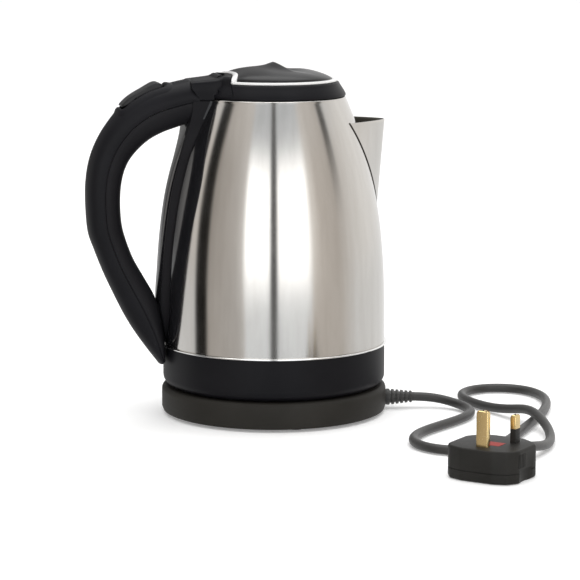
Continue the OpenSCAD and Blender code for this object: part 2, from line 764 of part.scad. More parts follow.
module cord_clamp() {
    color([0.25, 0.25, 0.25]) rotate([0, 0, lead_angle]) difference() {
        translate([54, -8, foot_gap + 2.1]) cube([9, 16, 10]);
        translate([50, 0, lead_z]) rotate([0, 90, 0]) cylinder(h = 20, r = cord_d / 2 + 0.1);
        for (y = [-5.8, 5.8]) translate([58.5, y, 0]) disc(1.2, 10, 14);
    }
}

relief_end = 98;    // distance of the strain relief's tip from the axis

module strain_relief() {
    color([0.14, 0.135, 0.13]) difference() {
        union() {
            along_lead(73.6) cylinder(h = 2.4, r = 6.6);
            along_lead(75.9) cylinder(h = 4.2, r = 5.6);
            along_lead(80) cylinder(h = relief_end - 80, r1 = 5.4, r2 = cord_d / 2 + 0.9);
        }
        along_lead(70) cylinder(h = 40, r = cord_d / 2 + 0.05);
        for (d = [83 : 4 : 95]) along_lead(d) difference() {
            cylinder(h = 1.3, r = 7);
            cylinder(h = 1.3, r = cord_d / 2 + 0.7);
        }
    }
}

module base_leads() {
    color("saddlebrown") for (y = [-2, 0, 2])
        loft(wire_rings(smooth([[53.2, -9 + y, 8], [46, -8 + y, 7], [36, -6 + 1.6 * y, 6.2],
            [29.5, -4 + 2.4 * y, 6.2]], 3), 0.8, 8, [0, 0, 1]));
}

// ---- Mains lead and plug ---------------------------------------------------------------

// Route of the lead's centre line along the surface: x, y, z
cord_route = [
    [54, -9, 8], [66, -11, 8], [78, -13, 8], [90, -15, 8], [102, -17, 8], [115, -20, 6.8],
    [125, -29, 4.6], [130, -42, 3.5], [129, -57, 3.4], [121, -70, 3.4], [109, -82, 3.4],
    [95, -94, 3.4], [81, -106, 3.4], [69, -120, 3.4], [62, -137, 3.4], [64, -155, 3.4],
    [75, -169, 3.4], [92, -174, 3.4], [108, -169, 3.4], [120, -156, 3.4], [131, -141, 3.4],
    [142, -124, 3.4], [153, -107, 3.4], [164, -90, 3.4], [175, -72, 3.4], [185, -52, 3.4],
    [193, -31, 3.4], [196, -8, 3.4], [190, 11, 3.4], [175, 22, 3.4], [157, 22, 3.4],
    [142, 11, 3.4], [136, -8, 3.4], [140, -30, 3.4], [147, -50, 3.8], [154, -70, 6.8],
    [159, -90, 11.4], [161, -110, 9], [160, -130, 5], [155, -149, 3.4], [147, -167, 3.4],
    [136, -182, 5.8], [125, -193, 9], [114, -204, 9],
];
plug_at = [121, -197, 9];
plug_heading = -135;

module cord() {
    path = flowing(cord_route, 2);
    color([0.12, 0.12, 0.12]) loft(wire_rings(path, cord_d / 2, 10, [0, 0, 1]));
}

// The plug's frame: x away from the lead, z up out of the face with the pins
module at_plug() {
    translate([plug_at[0], plug_at[1], 0]) rotate([0, 0, plug_heading]) children();
}

module plug_grommet() {
    color([0.12, 0.12, 0.12]) at_plug() difference() {
        union() {
            translate([2, 0, plug_at[2]]) rotate([0, 90, 0]) cylinder(h = 22, r1 = 4.4, r2 = 6.4);
            for (x = [5, 10, 15, 20]) translate([x, -6.5, plug_at[2] - 5]) cube([2.4, 13, 10]);
        }
        translate([-1, 0, plug_at[2]]) rotate([0, 90, 0]) cylinder(h = 12, r = cord_d / 2 + 0.1);
    }
}

plug_l = 46;
plug_w = 50;
plug_h = 21;

module plug_outline(inset) {
    w = plug_w / 2 - inset;
    x0 = 24.2 + inset;
    x1 = 24.2 + plug_l - inset;
    polygon([[x0, -11], [x0 + 7, -w + 3], [x0 + 12, -w], [x1 - 10, -w], [x1 - 3, -w + 5],
             [x1, -w + 14], [x1, w - 14], [x1 - 3, w - 5], [x1 - 10, w], [x0 + 12, w],
             [x0 + 7, w - 3], [x0, 11]]);
}

// Places of the pins
earth_pin = [24.2 + 36, 0];
live_pins = [[24.2 + 14, -11.1], [24.2 + 14, 11.1]];

module plug_body() {
    color([0.13, 0.13, 0.13]) at_plug() difference() {
        union() {
            translate([0, 0, 2]) linear_extrude(height = plug_h - 2) plug_outline(0);
            linear_extrude(height = 2) plug_outline(2);
        }
        // shallow finger recesses in both sides
        for (side = [-1, 1]) translate([24.2 + 26, side * 44, -1]) cylinder(h = 9, r = 21);
        translate([24.2 + 20, -8, plug_h - 6.4]) cube([10, 16, 8]);
        translate([earth_pin[0] - 2.05, -4.05, plug_h - 8]) cube([4.1, 8.1, 10]);
        for (p = live_pins) translate([p[0] - 3.25, p[1] - 2.05, plug_h - 8]) cube([6.5, 4.1, 10]);
    }
}

module plug_pins() {
    color("gold") at_plug() {
        translate([earth_pin[0] - 2, -4, plug_h - 7.9]) cube([4, 8, 7.9 + 22.7]);
        for (p = live_pins) {
            translate([p[0] - 3.2, p[1] - 2, plug_h + 9.1]) cube([6.4, 4, 8.6]);
            translate([p[0] - 2.4, p[1] - 1.2, plug_h - 7.9]) cube([4.8, 2.4, 17.1]);
        }
    }
}

module plug_sleeves() {
    color([0.1, 0.1, 0.1]) at_plug() for (p = live_pins) difference() {
        translate([p[0] - 3.2, p[1] - 2, plug_h - 6.9]) cube([6.4, 4, 15.9]);
        translate([p[0] - 2.45, p[1] - 1.25, plug_h - 8]) cube([4.9, 2.5, 20]);
    }
}

module fuse_cover() {
    color([0.3, 0.08, 0.07]) at_plug() translate([24.2 + 20.1, -7.9, plug_h - 1.5]) cube([9.8, 15.8, 1.6]);
}

module fuse() {
    color("tan") at_plug() translate([24.2 + 25, 0, plug_h - 3.9]) rotate([90, 0, 0])
        cylinder(h = 15, r = 2.3, center = true, $fn = 32);
}

// ---- Nodes -----------------------------------------------------------------------------

vessel();
vessel_floor();
spout();
spout_strainer();
trim_ring();
skirt();
bottom_cover();
bottom_screws();
diffuser_plate();
heating_element();
dry_boil_control();
dry_boil_bimetals();
kettle_coupler();
coupler_contacts();
collar();
top_cover();
hinge_pin();
handle_outer();
handle_inner();
handle_bracket();
handle_screws();
switch_housing();
switch_pin();
steam_bimetal();
steam_duct();
switch_leads();
rocker_switch();
lid_cover();
lid_trim();
lid_frame();
lid_plate();
lid_seal();
lid_screws();
shutter_ring();
shutter_spring();
base_cover();
base_plate();
base_connector();
base_terminals();
rubber_feet();
base_screws();
cord_clamp();
strain_relief();
base_leads();
cord();
plug_grommet();
plug_body();
plug_pins();
plug_sleeves();
fuse_cover();
fuse();
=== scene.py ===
import json
import math

import bmesh
import bpy
from mathutils import Matrix, Vector
from mathutils.bvhtree import BVHTree


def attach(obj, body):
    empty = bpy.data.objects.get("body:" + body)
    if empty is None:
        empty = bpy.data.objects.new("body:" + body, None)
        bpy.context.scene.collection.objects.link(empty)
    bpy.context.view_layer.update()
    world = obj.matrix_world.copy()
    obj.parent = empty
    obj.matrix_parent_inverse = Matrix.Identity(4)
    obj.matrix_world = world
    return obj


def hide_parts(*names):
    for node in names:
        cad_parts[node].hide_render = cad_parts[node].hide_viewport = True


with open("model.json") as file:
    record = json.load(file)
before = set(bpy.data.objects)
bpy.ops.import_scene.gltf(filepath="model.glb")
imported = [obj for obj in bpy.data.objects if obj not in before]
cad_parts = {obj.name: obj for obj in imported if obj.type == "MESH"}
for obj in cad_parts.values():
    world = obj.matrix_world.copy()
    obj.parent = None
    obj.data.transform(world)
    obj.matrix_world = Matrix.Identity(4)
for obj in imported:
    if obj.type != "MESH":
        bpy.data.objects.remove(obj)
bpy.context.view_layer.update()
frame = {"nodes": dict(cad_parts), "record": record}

# Everything below is drawn in millimetres and scaled once, in make(). Kettle pieces are drawn
# from the skirt's underside, which stands SEAT above the plane of the rubber feet.
MM = 0.001
SEAT = 20.3
scene = bpy.context.scene

# ---- Camera ----------------------------------------------------------------------------

CAMERA_AT = Vector((-0.3937, -1.7051, 0.3653))
AIM = Vector((0, 0, 0.1403))
ASIDE, BELOW = 0.0064667, 0.0306673    # slopes from AIM to the middle of the view
SENSOR, FOCAL_RATIO = 36, 4.345862     # the focal length in widths of the sensor

forward = (AIM - CAMERA_AT).normalized()
right = forward.cross(Vector((0, 0, 1))).normalized()
up = right.cross(forward)
camera_data = bpy.data.cameras.new("camera")
camera_data.sensor_width = SENSOR
camera_data.lens = FOCAL_RATIO * SENSOR
camera_data.clip_end = 60
camera = bpy.data.objects.new("camera", camera_data)
camera.location = CAMERA_AT
camera.rotation_mode = "QUATERNION"
camera.rotation_quaternion = (forward + right * ASIDE - up * BELOW).to_track_quat("-Z", "Y")
scene.collection.objects.link(camera)
scene.camera = camera

# ---- Curves ----------------------------------------------------------------------------


def clamp(value, low=0.0, high=1.0):
    return max(low, min(high, value))


def lerp(a, b, t):
    return [p + (q - p) * t for p, q in zip(a, b)]


def table(x, rows):
    """Value at x on the smooth curve through (x, value) rows."""
    if x <= rows[0][0]:
        return rows[0][1]
    for k, (a, b) in enumerate(zip(rows, rows[1:])):
        if x <= b[0]:
            before, after = neighbours(rows, k)[::3]
            t, span = (x - a[0]) / (b[0] - a[0]), b[0] - a[0]
            slope_a = (b[1] - before[1]) / (b[0] - before[0]) * span
            slope_b = (after[1] - a[1]) / (after[0] - a[0]) * span
            return ((2 * t ** 3 - 3 * t * t + 1) * a[1] + (t ** 3 - 2 * t * t + t) * slope_a
                    + (3 * t * t - 2 * t ** 3) * b[1] + (t ** 3 - t * t) * slope_b)
    return rows[-1][1]


def neighbours(rows, i):
    """The rows before and after the stretch from row i to the next, and the two at its ends."""
    return [rows[clamp(i + k, 0, len(rows) - 1)] for k in (-1, 0, 1, 2)]


def smooth(rows, n):
    """Smooth curve through the rows, with n steps between them."""
    out = []
    for i in range(len(rows) - 1):
        p = neighbours(rows, i)
        for step in range(n):
            t = step / n
            out.append([0.5 * (2 * b + (c - a) * t + (2 * a - 5 * b + 4 * c - d) * t * t
                               + (3 * b - a - 3 * c + d) * t ** 3)
                        for a, b, c, d in zip(*p)])
    return out + [list(rows[-1])]


def flowing(rows, n):
    """Uniform cubic B-spline drawn by the rows: the line that part.scad sweeps the lead along."""
    out = []
    for i in range(len(rows) - 1):
        p, last = neighbours(rows, i), i == len(rows) - 2
        for step in range(n + last):
            t = step / n
            w = ((1 - t) ** 3, 3 * t ** 3 - 6 * t * t + 4, 3 * t * t + 3 * t + 1 - 3 * t ** 3,
                 t ** 3)
            out.append([sum(k * q[axis] for k, q in zip(w, p)) / 6 for axis in range(3)])
    return out


def power(value, exponent):
    """A power that keeps the sign, for rounded squares and other such outlines."""
    return math.copysign(abs(value) ** exponent, value)


def arc(cx, cz, r, a0, a1, n):
    """Points on a circle, from angle a0 to a1 in degrees."""
    return [(cx + r * math.cos(math.radians(a0 + (a1 - a0) * k / n)),
             cz + r * math.sin(math.radians(a0 + (a1 - a0) * k / n))) for k in range(n + 1)]


def filleted(points, radius, steps=4):
    """Closed outline with its corners rounded. radius is one number, or one for each corner."""
    out, n = [], len(points)
    for i, p in enumerate(points):
        r = radius[i] if isinstance(radius, list) else radius
        p = Vector(p)
        a, b = Vector(points[i - 1]) - p, Vector(points[(i + 1) % n]) - p
        if r <= 0:
            out.append(tuple(p))
            continue
        reach = min(r / math.tan(a.angle(b) / 2), 0.48 * a.length, 0.48 * b.length)
        start, end = p + a.normalized() * reach, p + b.normalized() * reach
        for k in range(steps + 1):
            t = k / steps
            out.append(tuple(start * (1 - t) ** 2 + p * 2 * t * (1 - t) + end * t * t))
    return out


# ---- Meshes ----------------------------------------------------------------------------


def make(name, verts, faces, lift=0.0, sharp=38):
    mesh = bpy.data.meshes.new(name)
    mesh.from_pydata([(x * MM, y * MM, (z + lift) * MM) for x, y, z in verts], [], faces)
    bm = bmesh.new()
    bm.from_mesh(mesh)
    bmesh.ops.remove_doubles(bm, verts=bm.verts, dist=2e-6)
    bmesh.ops.recalc_face_normals(bm, faces=bm.faces)
    bm.to_mesh(mesh)
    bm.free()
    shade(mesh, sharp)
    obj = bpy.data.objects.new(name, mesh)
    scene.collection.objects.link(obj)
    return obj


def shade(mesh, sharp):
    for face in mesh.polygons:
        face.use_smooth = True
    mesh.set_sharp_from_angle(angle=math.radians(sharp))


def grid_faces(rows, columns, wrap_rows, wrap_columns):
    return [(r * columns + c, r * columns + (c + 1) % columns,
             (r + 1) % rows * columns + (c + 1) % columns, (r + 1) % rows * columns + c)
            for r in range(rows - (not wrap_rows)) for c in range(columns - (not wrap_columns))]


def circle(r, n):
    return [(r * math.cos(math.tau * k / n), r * math.sin(math.tau * k / n)) for k in range(n)]


def lathe(name, profile, lift=0.0, n=192, sharp=38):
    """Solid of revolution of a closed outline of (radius, height)."""
    verts = [(x, y, z) for r, z in profile for x, y in circle(r, n)]
    return make(name, verts, grid_faces(len(profile), n, True, True), lift, sharp)


def loft(name, rings, lift=0.0, sharp=38, closed=False, strip=False):
    """Skin over rings of equal point count. closed joins the last ring to the first. A strip's
    rings go out along one side and back along the other, and its ends close between the two."""
    n = len(rings[0])
    faces = grid_faces(len(rings), n, closed, True)
    if not closed:
        end = ([(k, k + 1, n - 2 - k, n - 1 - k) for k in range(n // 2 - 1)] if strip
               else [tuple(range(n))])
        last = (len(rings) - 1) * n
        faces += end + [tuple(last + k for k in face) for face in end]
    return make(name, [p for ring in rings for p in ring], faces, lift, sharp)


def prism(outline, z0, z1):
    """Rings of a straight piece with one outline in X-Y."""
    return [[(x, y, z) for x, y in outline] for z in (z0, z1)]


def plate(name, outline, height, edge, steps):
    """Outline in X-Y made into a plate whose upper edge, and lower one, is rounded by edge."""
    turns = [math.pi / 2 * k / steps for k in range(steps + 1)]
    levels = [(edge - edge * math.cos(a), edge - edge * math.sin(a)) for a in turns]
    levels += [(height - z, d) for z, d in reversed(levels)]
    return loft(name, [[(x, y, z) for x, y in inset(outline, d)] for z, d in levels])


def inset(outline, distance):
    """Outline moved inwards by a distance small beside its curves."""
    n = len(outline)
    area = sum(outline[i - 1][0] * outline[i][1] - outline[i][0] * outline[i - 1][1]
               for i in range(n))
    side = 1 if area > 0 else -1
    out = []
    for i in range(n):
        a, b = Vector(outline[i - 1][:2]), Vector(outline[(i + 1) % n][:2])
        d = (b - a).normalized()
        out.append((outline[i][0] - side * d.y * distance, outline[i][1] + side * d.x * distance))
    return out


def frames(path, flat):
    """Two cross directions at each point of a path that never runs along flat."""
    out = []
    for i in range(len(path)):
        d = (Vector(path[min(i + 1, len(path) - 1)]) - Vector(path[max(i - 1, 0)])).normalized()
        side = Vector(flat).cross(d).normalized()
        out.append((side, d.cross(side)))
    return out


def sweep(name, path, section, flat=(0, 0, 1), lift=0.0, closed=False, sharp=38, scale=None):
    """Section of (across, up) swept along a path, its size multiplied by scale(i)."""
    rings = []
    for i, (p, (side, rise)) in enumerate(zip(path, frames(path, flat))):
        k = scale(i) if scale else 1
        rings.append([tuple(Vector(p) + side * u * k + rise * v * k) for u, v in section])
    return loft(name, rings, lift, sharp, closed)


def carve(obj, cutter, sharp=38):
    """obj cut by another mesh, which is then dropped."""
    change = obj.modifiers.new("carve", "BOOLEAN")
    change.operation, change.solver, change.object = "DIFFERENCE", "EXACT", cutter
    bpy.context.view_layer.update()
    mesh = bpy.data.meshes.new_from_object(
        obj.evaluated_get(bpy.context.evaluated_depsgraph_get()))
    obj.modifiers.clear()
    old, obj.data = obj.data, mesh
    bpy.data.meshes.remove(old)
    bpy.data.objects.remove(cutter)
    mesh.name = obj.name
    shade(mesh, sharp)
    return obj


def box_outline(x0, x1, y0, y1):
    return [(x0, y0), (x1, y0), (x1, y1), (x0, y1)]


def block(x0, x1, y0, y1, z0, z1, lift=0.0):
    return loft("cutter", prism(box_outline(x0, x1, y0, y1), z0, z1), lift)


def rod(x, y, z0, z1, r, lift=0.0, n=32):
    return loft("cutter", prism([(x + u, y + v) for u, v in circle(r, n)], z0, z1), lift)


def join(obj, *others):
    """Several meshes as one object."""
    bm = bmesh.new()
    for o in (obj, *others):
        bm.from_mesh(o.data)
    bm.to_mesh(obj.data)
    bm.free()
    for o in others:
        bpy.data.objects.remove(o)
    return obj


def moved(obj, turn, at):
    """A piece drawn about the origin, turned and then moved to its place in mm."""
    for v in obj.data.vertices:
        v.co = turn @ v.co + at * MM
    obj.data.update()
    return obj


def place(obj, body, node, slot, *materials):
    """Gives a piece the body it rides on and its materials, by default the slot's, and hides the CAD
    node it stands for.
    """
    obj.data.materials.clear()
    for material in materials or (BY_SLOT[slot],):
        obj.data.materials.append(material)
    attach(obj, body)
    if node:
        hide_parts(node)


# ---- Materials -------------------------------------------------------------------------


class Nodes:
    """Short way to write the node tree of a material or of the world."""

    def __init__(self, owner, place="Object"):
        owner.use_nodes = True
        self.owner, self.tree = owner, owner.node_tree
        self.shader = self.tree.nodes.get("Principled BSDF")
        self.place = self.add("ShaderNodeTexCoord").outputs[place]

    def add(self, kind, **settings):
        node = self.tree.nodes.new(kind)
        for key, value in settings.items():
            setattr(node, key, value)
        return node

    def link(self, out, into):
        self.tree.links.new(out, into)

    def feed(self, sockets, values):
        """Gives each socket its number, or links it to its output."""
        for socket, value in zip(sockets, values):
            if isinstance(value, (int, float)):
                socket.default_value = value
            else:
                self.link(value, socket)

    def set(self, **constants):
        for key, value in constants.items():
            self.shader.inputs[key.replace("_", " ")].default_value = value
        return self

    def noise(self, scale, detail=2.0, rough=0.5, vector=None):
        node = self.add("ShaderNodeTexNoise")
        self.feed([node.inputs[key] for key in ("Vector", "Scale", "Detail", "Roughness")],
                  [vector or self.place, scale, detail, rough])
        return node.outputs["Fac"]

    def spread(self, value, low, high, out_low=0, out_high=1, kind="LINEAR"):
        node = self.add("ShaderNodeMapRange", interpolation_type=kind)
        self.feed([node.inputs[key] for key in ("Value", "From Min", "From Max", "To Min", "To Max")],
                  [value, low, high, out_low, out_high])
        return node.outputs["Result"]

    def ramp(self, value, stops):
        """Colour by value, through stops of (value, colour)."""
        low, high = stops[0][0], stops[-1][0]
        node = self.add("ShaderNodeValToRGB")
        while len(node.color_ramp.elements) < len(stops):
            node.color_ramp.elements.new(0.5)
        for element, (at, colour) in zip(node.color_ramp.elements, stops):
            element.position, element.color = (at - low) / (high - low), (*colour, 1)
        self.link(self.spread(value, low, high), node.inputs["Fac"])
        return node.outputs["Color"]

    def math(self, operation, *values):
        node = self.add("ShaderNodeMath", operation=operation)
        self.feed(node.inputs, values)
        return node.outputs["Value"]

    def blend(self, *parts):
        """Sum of (output, share) parts."""
        terms = [self.math("MULTIPLY", value, share) for value, share in parts]
        total = terms[-1]
        for term in terms[-2::-1]:
            total = self.math("ADD", term, total)
        return total

    def bump(self, height, distance, strength, under=None):
        node = self.add("ShaderNodeBump")
        self.feed([node.inputs[key] for key in ("Height", "Distance", "Strength")],
                  [height, distance, strength])
        if under:
            self.link(under, node.inputs["Normal"])
        return node.outputs["Normal"]

    def finish(self, tone, low, high, tones, gloss, rough, normal):
        """Colour from tone, which goes from low to high, roughness from gloss, and the normal."""
        self.link(self.ramp(tone, [(low, tones[0]), (high, tones[1])]),
                  self.shader.inputs["Base Color"])
        self.link(self.spread(gloss, 0.3, 0.7, *rough), self.shader.inputs["Roughness"])
        self.link(normal, self.shader.inputs["Normal"])
        return self.owner


def plain(name, **constants):
    return Nodes(bpy.data.materials.new(name)).set(**constants)


DUST = 0.04


def moulded(name, tones, rough, grain=1400, depth=0.00002, coat=0.0, specular=0.12):
    """Injection-moulded plastic: fine mould texture, slow variation of gloss, faint dust."""
    m = plain(name, Specular_IOR_Level=specular, Coat_Weight=coat, Coat_Roughness=0.12)
    slow, fine = m.noise(22, 3), m.noise(grain, 3, 0.6)
    specks = m.spread(m.noise(520, 5, 0.75), 0.62, 0.8)
    swell = m.bump(m.noise(38, 1), 0.00012, 0.35)
    return m.finish(m.blend((slow, 0.7), (specks, DUST)), 0.25, 0.6, tones,
                    m.blend((slow, 0.6), (fine, 0.4)), rough, m.bump(fine, depth, 0.55, swell))


def rubbery(name, tones, rough):
    """Soft matt plastic or rubber with a fine grain."""
    m = plain(name, IOR=1.5, Sheen_Weight=0.12, Sheen_Roughness=0.5)
    slow, fine = m.noise(30, 3), m.noise(900, 4, 0.65)
    return m.finish(slow, 0.3, 0.7, tones, fine, rough, m.bump(fine, 0.00003, 0.6))


def metal(name, tones, rough, grain=600, streak=None, anisotropy=0.0):
    """Bare metal. streak stretches its grain along X, Y or Z of the object."""
    m = plain(name, Metallic=1.0, Anisotropic=anisotropy)
    vector = m.place
    if streak:
        scaled = m.add("ShaderNodeMapping")
        scaled.inputs["Scale"].default_value = streak
        m.link(m.place, scaled.inputs["Vector"])
        vector = scaled.outputs["Vector"]
    slow, fine = m.noise(26, 3), m.noise(grain, 4, 0.6, vector)
    return m.finish(m.blend((slow, 0.6), (fine, 0.4)), 0.3, 0.7, tones, fine, rough,
                    m.bump(fine, 0.00001, 0.5))


def turned_steel():
    """Sheet polished round its axis: hair lines along the round, so a highlight stays sharp
    sideways and smears upwards, with faint wipe marks and finger smudges."""
    m = plain("turned_steel", Metallic=1.0, Anisotropic=0.8, Anisotropic_Rotation=0.25)
    tangent = m.add("ShaderNodeTangent", direction_type="RADIAL", axis="Z")
    m.link(tangent.outputs["Tangent"], m.shader.inputs["Tangent"])
    parts = m.add("ShaderNodeSeparateXYZ")
    m.link(m.place, parts.inputs["Vector"])
    turn = m.math("ARCTAN2", parts.outputs["Y"], parts.outputs["X"])
    fields = []
    for along, up_z in ((0.012, 1), (0.05, 0.12)):
        field = m.add("ShaderNodeCombineXYZ")
        m.link(m.math("MULTIPLY", turn, along), field.inputs["X"])
        m.link(m.math("MULTIPLY", parts.outputs["Z"], up_z), field.inputs["Z"])
        fields.append(field.outputs["Vector"])
    hair, bands = m.noise(5200, 3, 0.7, fields[0]), m.noise(260, 2, 0.5, fields[1])
    grain, smudge = m.noise(1900, 2, 0.6), m.noise(24, 4, 0.6)
    ripple = m.bump(m.noise(9, 2), 0.0006, 0.12)
    return m.finish(m.blend((hair, 0.35), (grain, 0.35), (bands, 0.3)), 0.35, 0.65,
                    ((0.585, 0.565, 0.535), (0.665, 0.65, 0.625)),
                    m.blend((smudge, 0.5), (hair, 0.5)), (0.13, 0.21),
                    m.bump(hair, 0.000004, 0.35, ripple))


steel = turned_steel()
# near-black steel as painted shade: the spout's shaded inner side and the creases of its weld seams
shaded_steel = metal("shaded_steel", ((0.045, 0.043, 0.038), (0.095, 0.09, 0.08)), (0.32, 0.46), 500)
BLACK = ((0.0055, 0.0055, 0.007), (0.0095, 0.0092, 0.0112))
skirt_black = moulded("skirt_black", BLACK, (0.38, 0.46))
bracket_black = moulded("bracket_black", ((0.0065, 0.0065, 0.0075), (0.0105, 0.0105, 0.012)),
                        (0.08, 0.13), depth=0.000003, specular=0.55, coat=0.45)
satin_silver = moulded("satin_silver", ((0.78, 0.78, 0.775), (0.86, 0.86, 0.855)), (0.22, 0.3),
                       specular=0.6, coat=0.3)
inner_steel = metal("inner_steel", ((0.6, 0.6, 0.59), (0.7, 0.7, 0.69)), (0.26, 0.38), 700,
                    streak=(1, 0.05, 1), anisotropy=0.3)
# what each slot of the parts is made of
BY_SLOT = {
    "body_steel": inner_steel,
    "strainer_steel": inner_steel,
    "bright_trim": metal("bright_trim", ((0.86, 0.86, 0.86), (0.93, 0.93, 0.92)), (0.06, 0.14), 300),
    "satin_black": moulded("collar_black", BLACK, (0.34, 0.44)),
    "handle_black": moulded("handle_black", ((0.0065, 0.0065, 0.0082), (0.0105, 0.0102, 0.0125)),
                            (0.4, 0.5), grain=1100, depth=0.000035),
    "grip_black": moulded("grip_black", ((0.0085, 0.0082, 0.0098), (0.013, 0.0125, 0.0145)),
                          (0.48, 0.58), grain=700, depth=0.00005),
    "gloss_black": moulded("gloss_black", ((0.007, 0.007, 0.008), (0.011, 0.011, 0.0125)),
                           (0.3, 0.4), depth=0.00001, specular=0.3),
    "lid_black": moulded("lid_black", ((0.007, 0.0068, 0.0074), (0.011, 0.0108, 0.0115)),
                         (0.3, 0.38), grain=1000, specular=0.34),
    "base_black": moulded("base_black", ((0.021, 0.0195, 0.0168), (0.031, 0.029, 0.0255)),
                          (0.46, 0.58), grain=650, depth=0.00006),
    "coupler_plastic": moulded("connector_black", ((0.01, 0.01, 0.0115), (0.016, 0.016, 0.018)),
                               (0.22, 0.32), coat=0.2),
    "shutter_plastic": moulded("shutter_grey", ((0.05, 0.05, 0.05), (0.075, 0.075, 0.075)),
                               (0.3, 0.4)),
    "control_plastic": moulded("control_ivory", ((0.58, 0.55, 0.46), (0.68, 0.65, 0.57)),
                               (0.45, 0.6)),
    "plug_black": moulded("plug_black", ((0.017, 0.0165, 0.015), (0.027, 0.026, 0.024)),
                          (0.36, 0.48), grain=800, depth=0.00004),
    "fuse_red": moulded("fuse_red", ((0.24, 0.022, 0.018), (0.34, 0.035, 0.028)), (0.35, 0.5)),
    "fuse_ceramic": moulded("fuse_ceramic", ((0.74, 0.68, 0.58), (0.84, 0.8, 0.72)), (0.2, 0.35)),
    "cord_rubber": rubbery("cord_rubber", ((0.016, 0.0155, 0.0145), (0.028, 0.027, 0.025)),
                           (0.38, 0.52)),
    "foot_rubber": rubbery("foot_rubber", ((0.035, 0.035, 0.035), (0.055, 0.055, 0.055)),
                           (0.6, 0.8)),
    "silicone": rubbery("silicone", ((0.62, 0.62, 0.6), (0.72, 0.72, 0.7)), (0.4, 0.55)),
    "wire_insulation": rubbery("wire_insulation", ((0.2, 0.045, 0.03), (0.3, 0.07, 0.05)),
                               (0.35, 0.5)),
    "screw_steel": metal("screw_steel", ((0.4, 0.4, 0.41), (0.52, 0.52, 0.52)), (0.3, 0.42), 1500),
    "pin_steel": metal("pin_steel", ((0.58, 0.58, 0.58), (0.68, 0.68, 0.68)), (0.16, 0.26), 900),
    "aluminium_plate": metal("rolled_aluminium", ((0.68, 0.69, 0.7), (0.78, 0.78, 0.79)),
                             (0.3, 0.45), streak=(1, 0.04, 1), anisotropy=0.4),
    "element_sheath": metal("element_sheath", ((0.36, 0.35, 0.34), (0.52, 0.51, 0.5)), (0.45, 0.6)),
    "bimetal": metal("bimetal", ((0.56, 0.43, 0.25), (0.66, 0.53, 0.33)), (0.25, 0.38), 900,
                     streak=(0.05, 1, 1)),
    "brass_contact": metal("brass", ((0.7, 0.52, 0.24), (0.8, 0.62, 0.32)), (0.16, 0.28), 900),
}
for part in frame["record"]["subparts"]:
    slots = frame["nodes"][part["node"]].data.materials
    slots.clear()
    slots.append(BY_SLOT[part["material_slot"]])

# ---- Mains lead ------------------------------------------------------------------------

CORD_D = 6.4
CORD_ROUTE = [
    (54, -9, 8), (66, -11, 8), (78, -13, 8), (90, -15, 8), (102, -17, 8), (115, -20, 6.8),
    (125, -29, 4.6), (130, -42, 3.5), (129, -57, 3.4), (121, -70, 3.4), (109, -82, 3.4),
    (95, -94, 3.4), (81, -106, 3.4), (69, -120, 3.4), (62, -137, 3.4), (64, -155, 3.4),
    (75, -169, 3.4), (92, -174, 3.4), (108, -169, 3.4), (120, -156, 3.4), (131, -141, 3.4),
    (142, -124, 3.4), (153, -107, 3.4), (164, -90, 3.4), (175, -72, 3.4), (185, -52, 3.4),
    (193, -31, 3.4), (196, -8, 3.4), (190, 11, 3.4), (175, 22, 3.4), (157, 22, 3.4),
    (142, 11, 3.4), (136, -8, 3.4), (140, -30, 3.4), (147, -50, 3.8), (154, -70, 6.8),
    (159, -90, 11.4), (161, -110, 9), (160, -130, 5), (155, -149, 3.4), (147, -167, 3.4),
    (136, -182, 5.8), (125, -193, 9), (114, -204, 9),
]
cord_path = flowing(CORD_ROUTE, 5)


BASE_R = 79
LEAD_ANGLE = -math.atan2(1, 6)
LEAD_Z = 8
lead_dir = Vector((math.cos(LEAD_ANGLE), math.sin(LEAD_ANGLE), 0))


def along_lead(profile, name, n=48):
    """Solid of revolution about the lead's line out of the base: (distance, radius) outline."""
    side = Vector((-lead_dir.y, lead_dir.x, 0))
    verts = [tuple(lead_dir * d + Vector((0, 0, LEAD_Z))
                   + side * r * math.cos(math.tau * k / n)
                   + Vector((0, 0, 1)) * r * math.sin(math.tau * k / n))
             for d, r in profile for k in range(n)]
    return make(name, verts, grid_faces(len(profile), n, True, True))


# ---- Plug ------------------------------------------------------------------------------

PLUG_AT, PLUG_HEADING = (121, -197, 9), -135
PLUG_X0, PLUG_L, PLUG_W, PLUG_H = 24.2, 46, 50, 21
plug_turn = Matrix.Rotation(math.radians(PLUG_HEADING), 3, "Z")


def at_plug(obj):
    return moved(obj, plug_turn, Vector((PLUG_AT[0], PLUG_AT[1], 0)))


def plug_outline():
    w, x0, x1 = PLUG_W / 2, PLUG_X0, PLUG_X0 + PLUG_L
    corners = [(x0, -11), (x0 + 7, -w + 3), (x0 + 12, -w), (x1 - 10, -w), (x1 - 3, -w + 5),
               (x1, -w + 14), (x1, w - 14), (x1 - 3, w - 5), (x1 - 10, w), (x0 + 12, w),
               (x0 + 7, w - 3), (x0, 11)]
    return filleted(corners, [3, 5, 6, 8, 5, 8, 8, 5, 8, 6, 5, 3], 4)


outline = plug_outline()
plug = plate("plug_shell", outline, PLUG_H, edge=1.6, steps=5)
for side in (-1, 1):
    carve(plug, rod(PLUG_X0 + 26, side * 44, -1, 8.2, 21, n=64))
recess = filleted(box_outline(PLUG_X0 + 20, PLUG_X0 + 30, -8, 8), 0.8, 4)
carve(plug, loft("cutter", prism(recess, PLUG_H - 1.6, PLUG_H + 2)))
# the groove between the plug's two halves
groove = loft("cutter", prism(inset(outline, -1), 6.3, 6.9))
carve(plug, carve(groove, loft("cutter", prism(inset(outline, 0.5), 6.2, 7.0))))
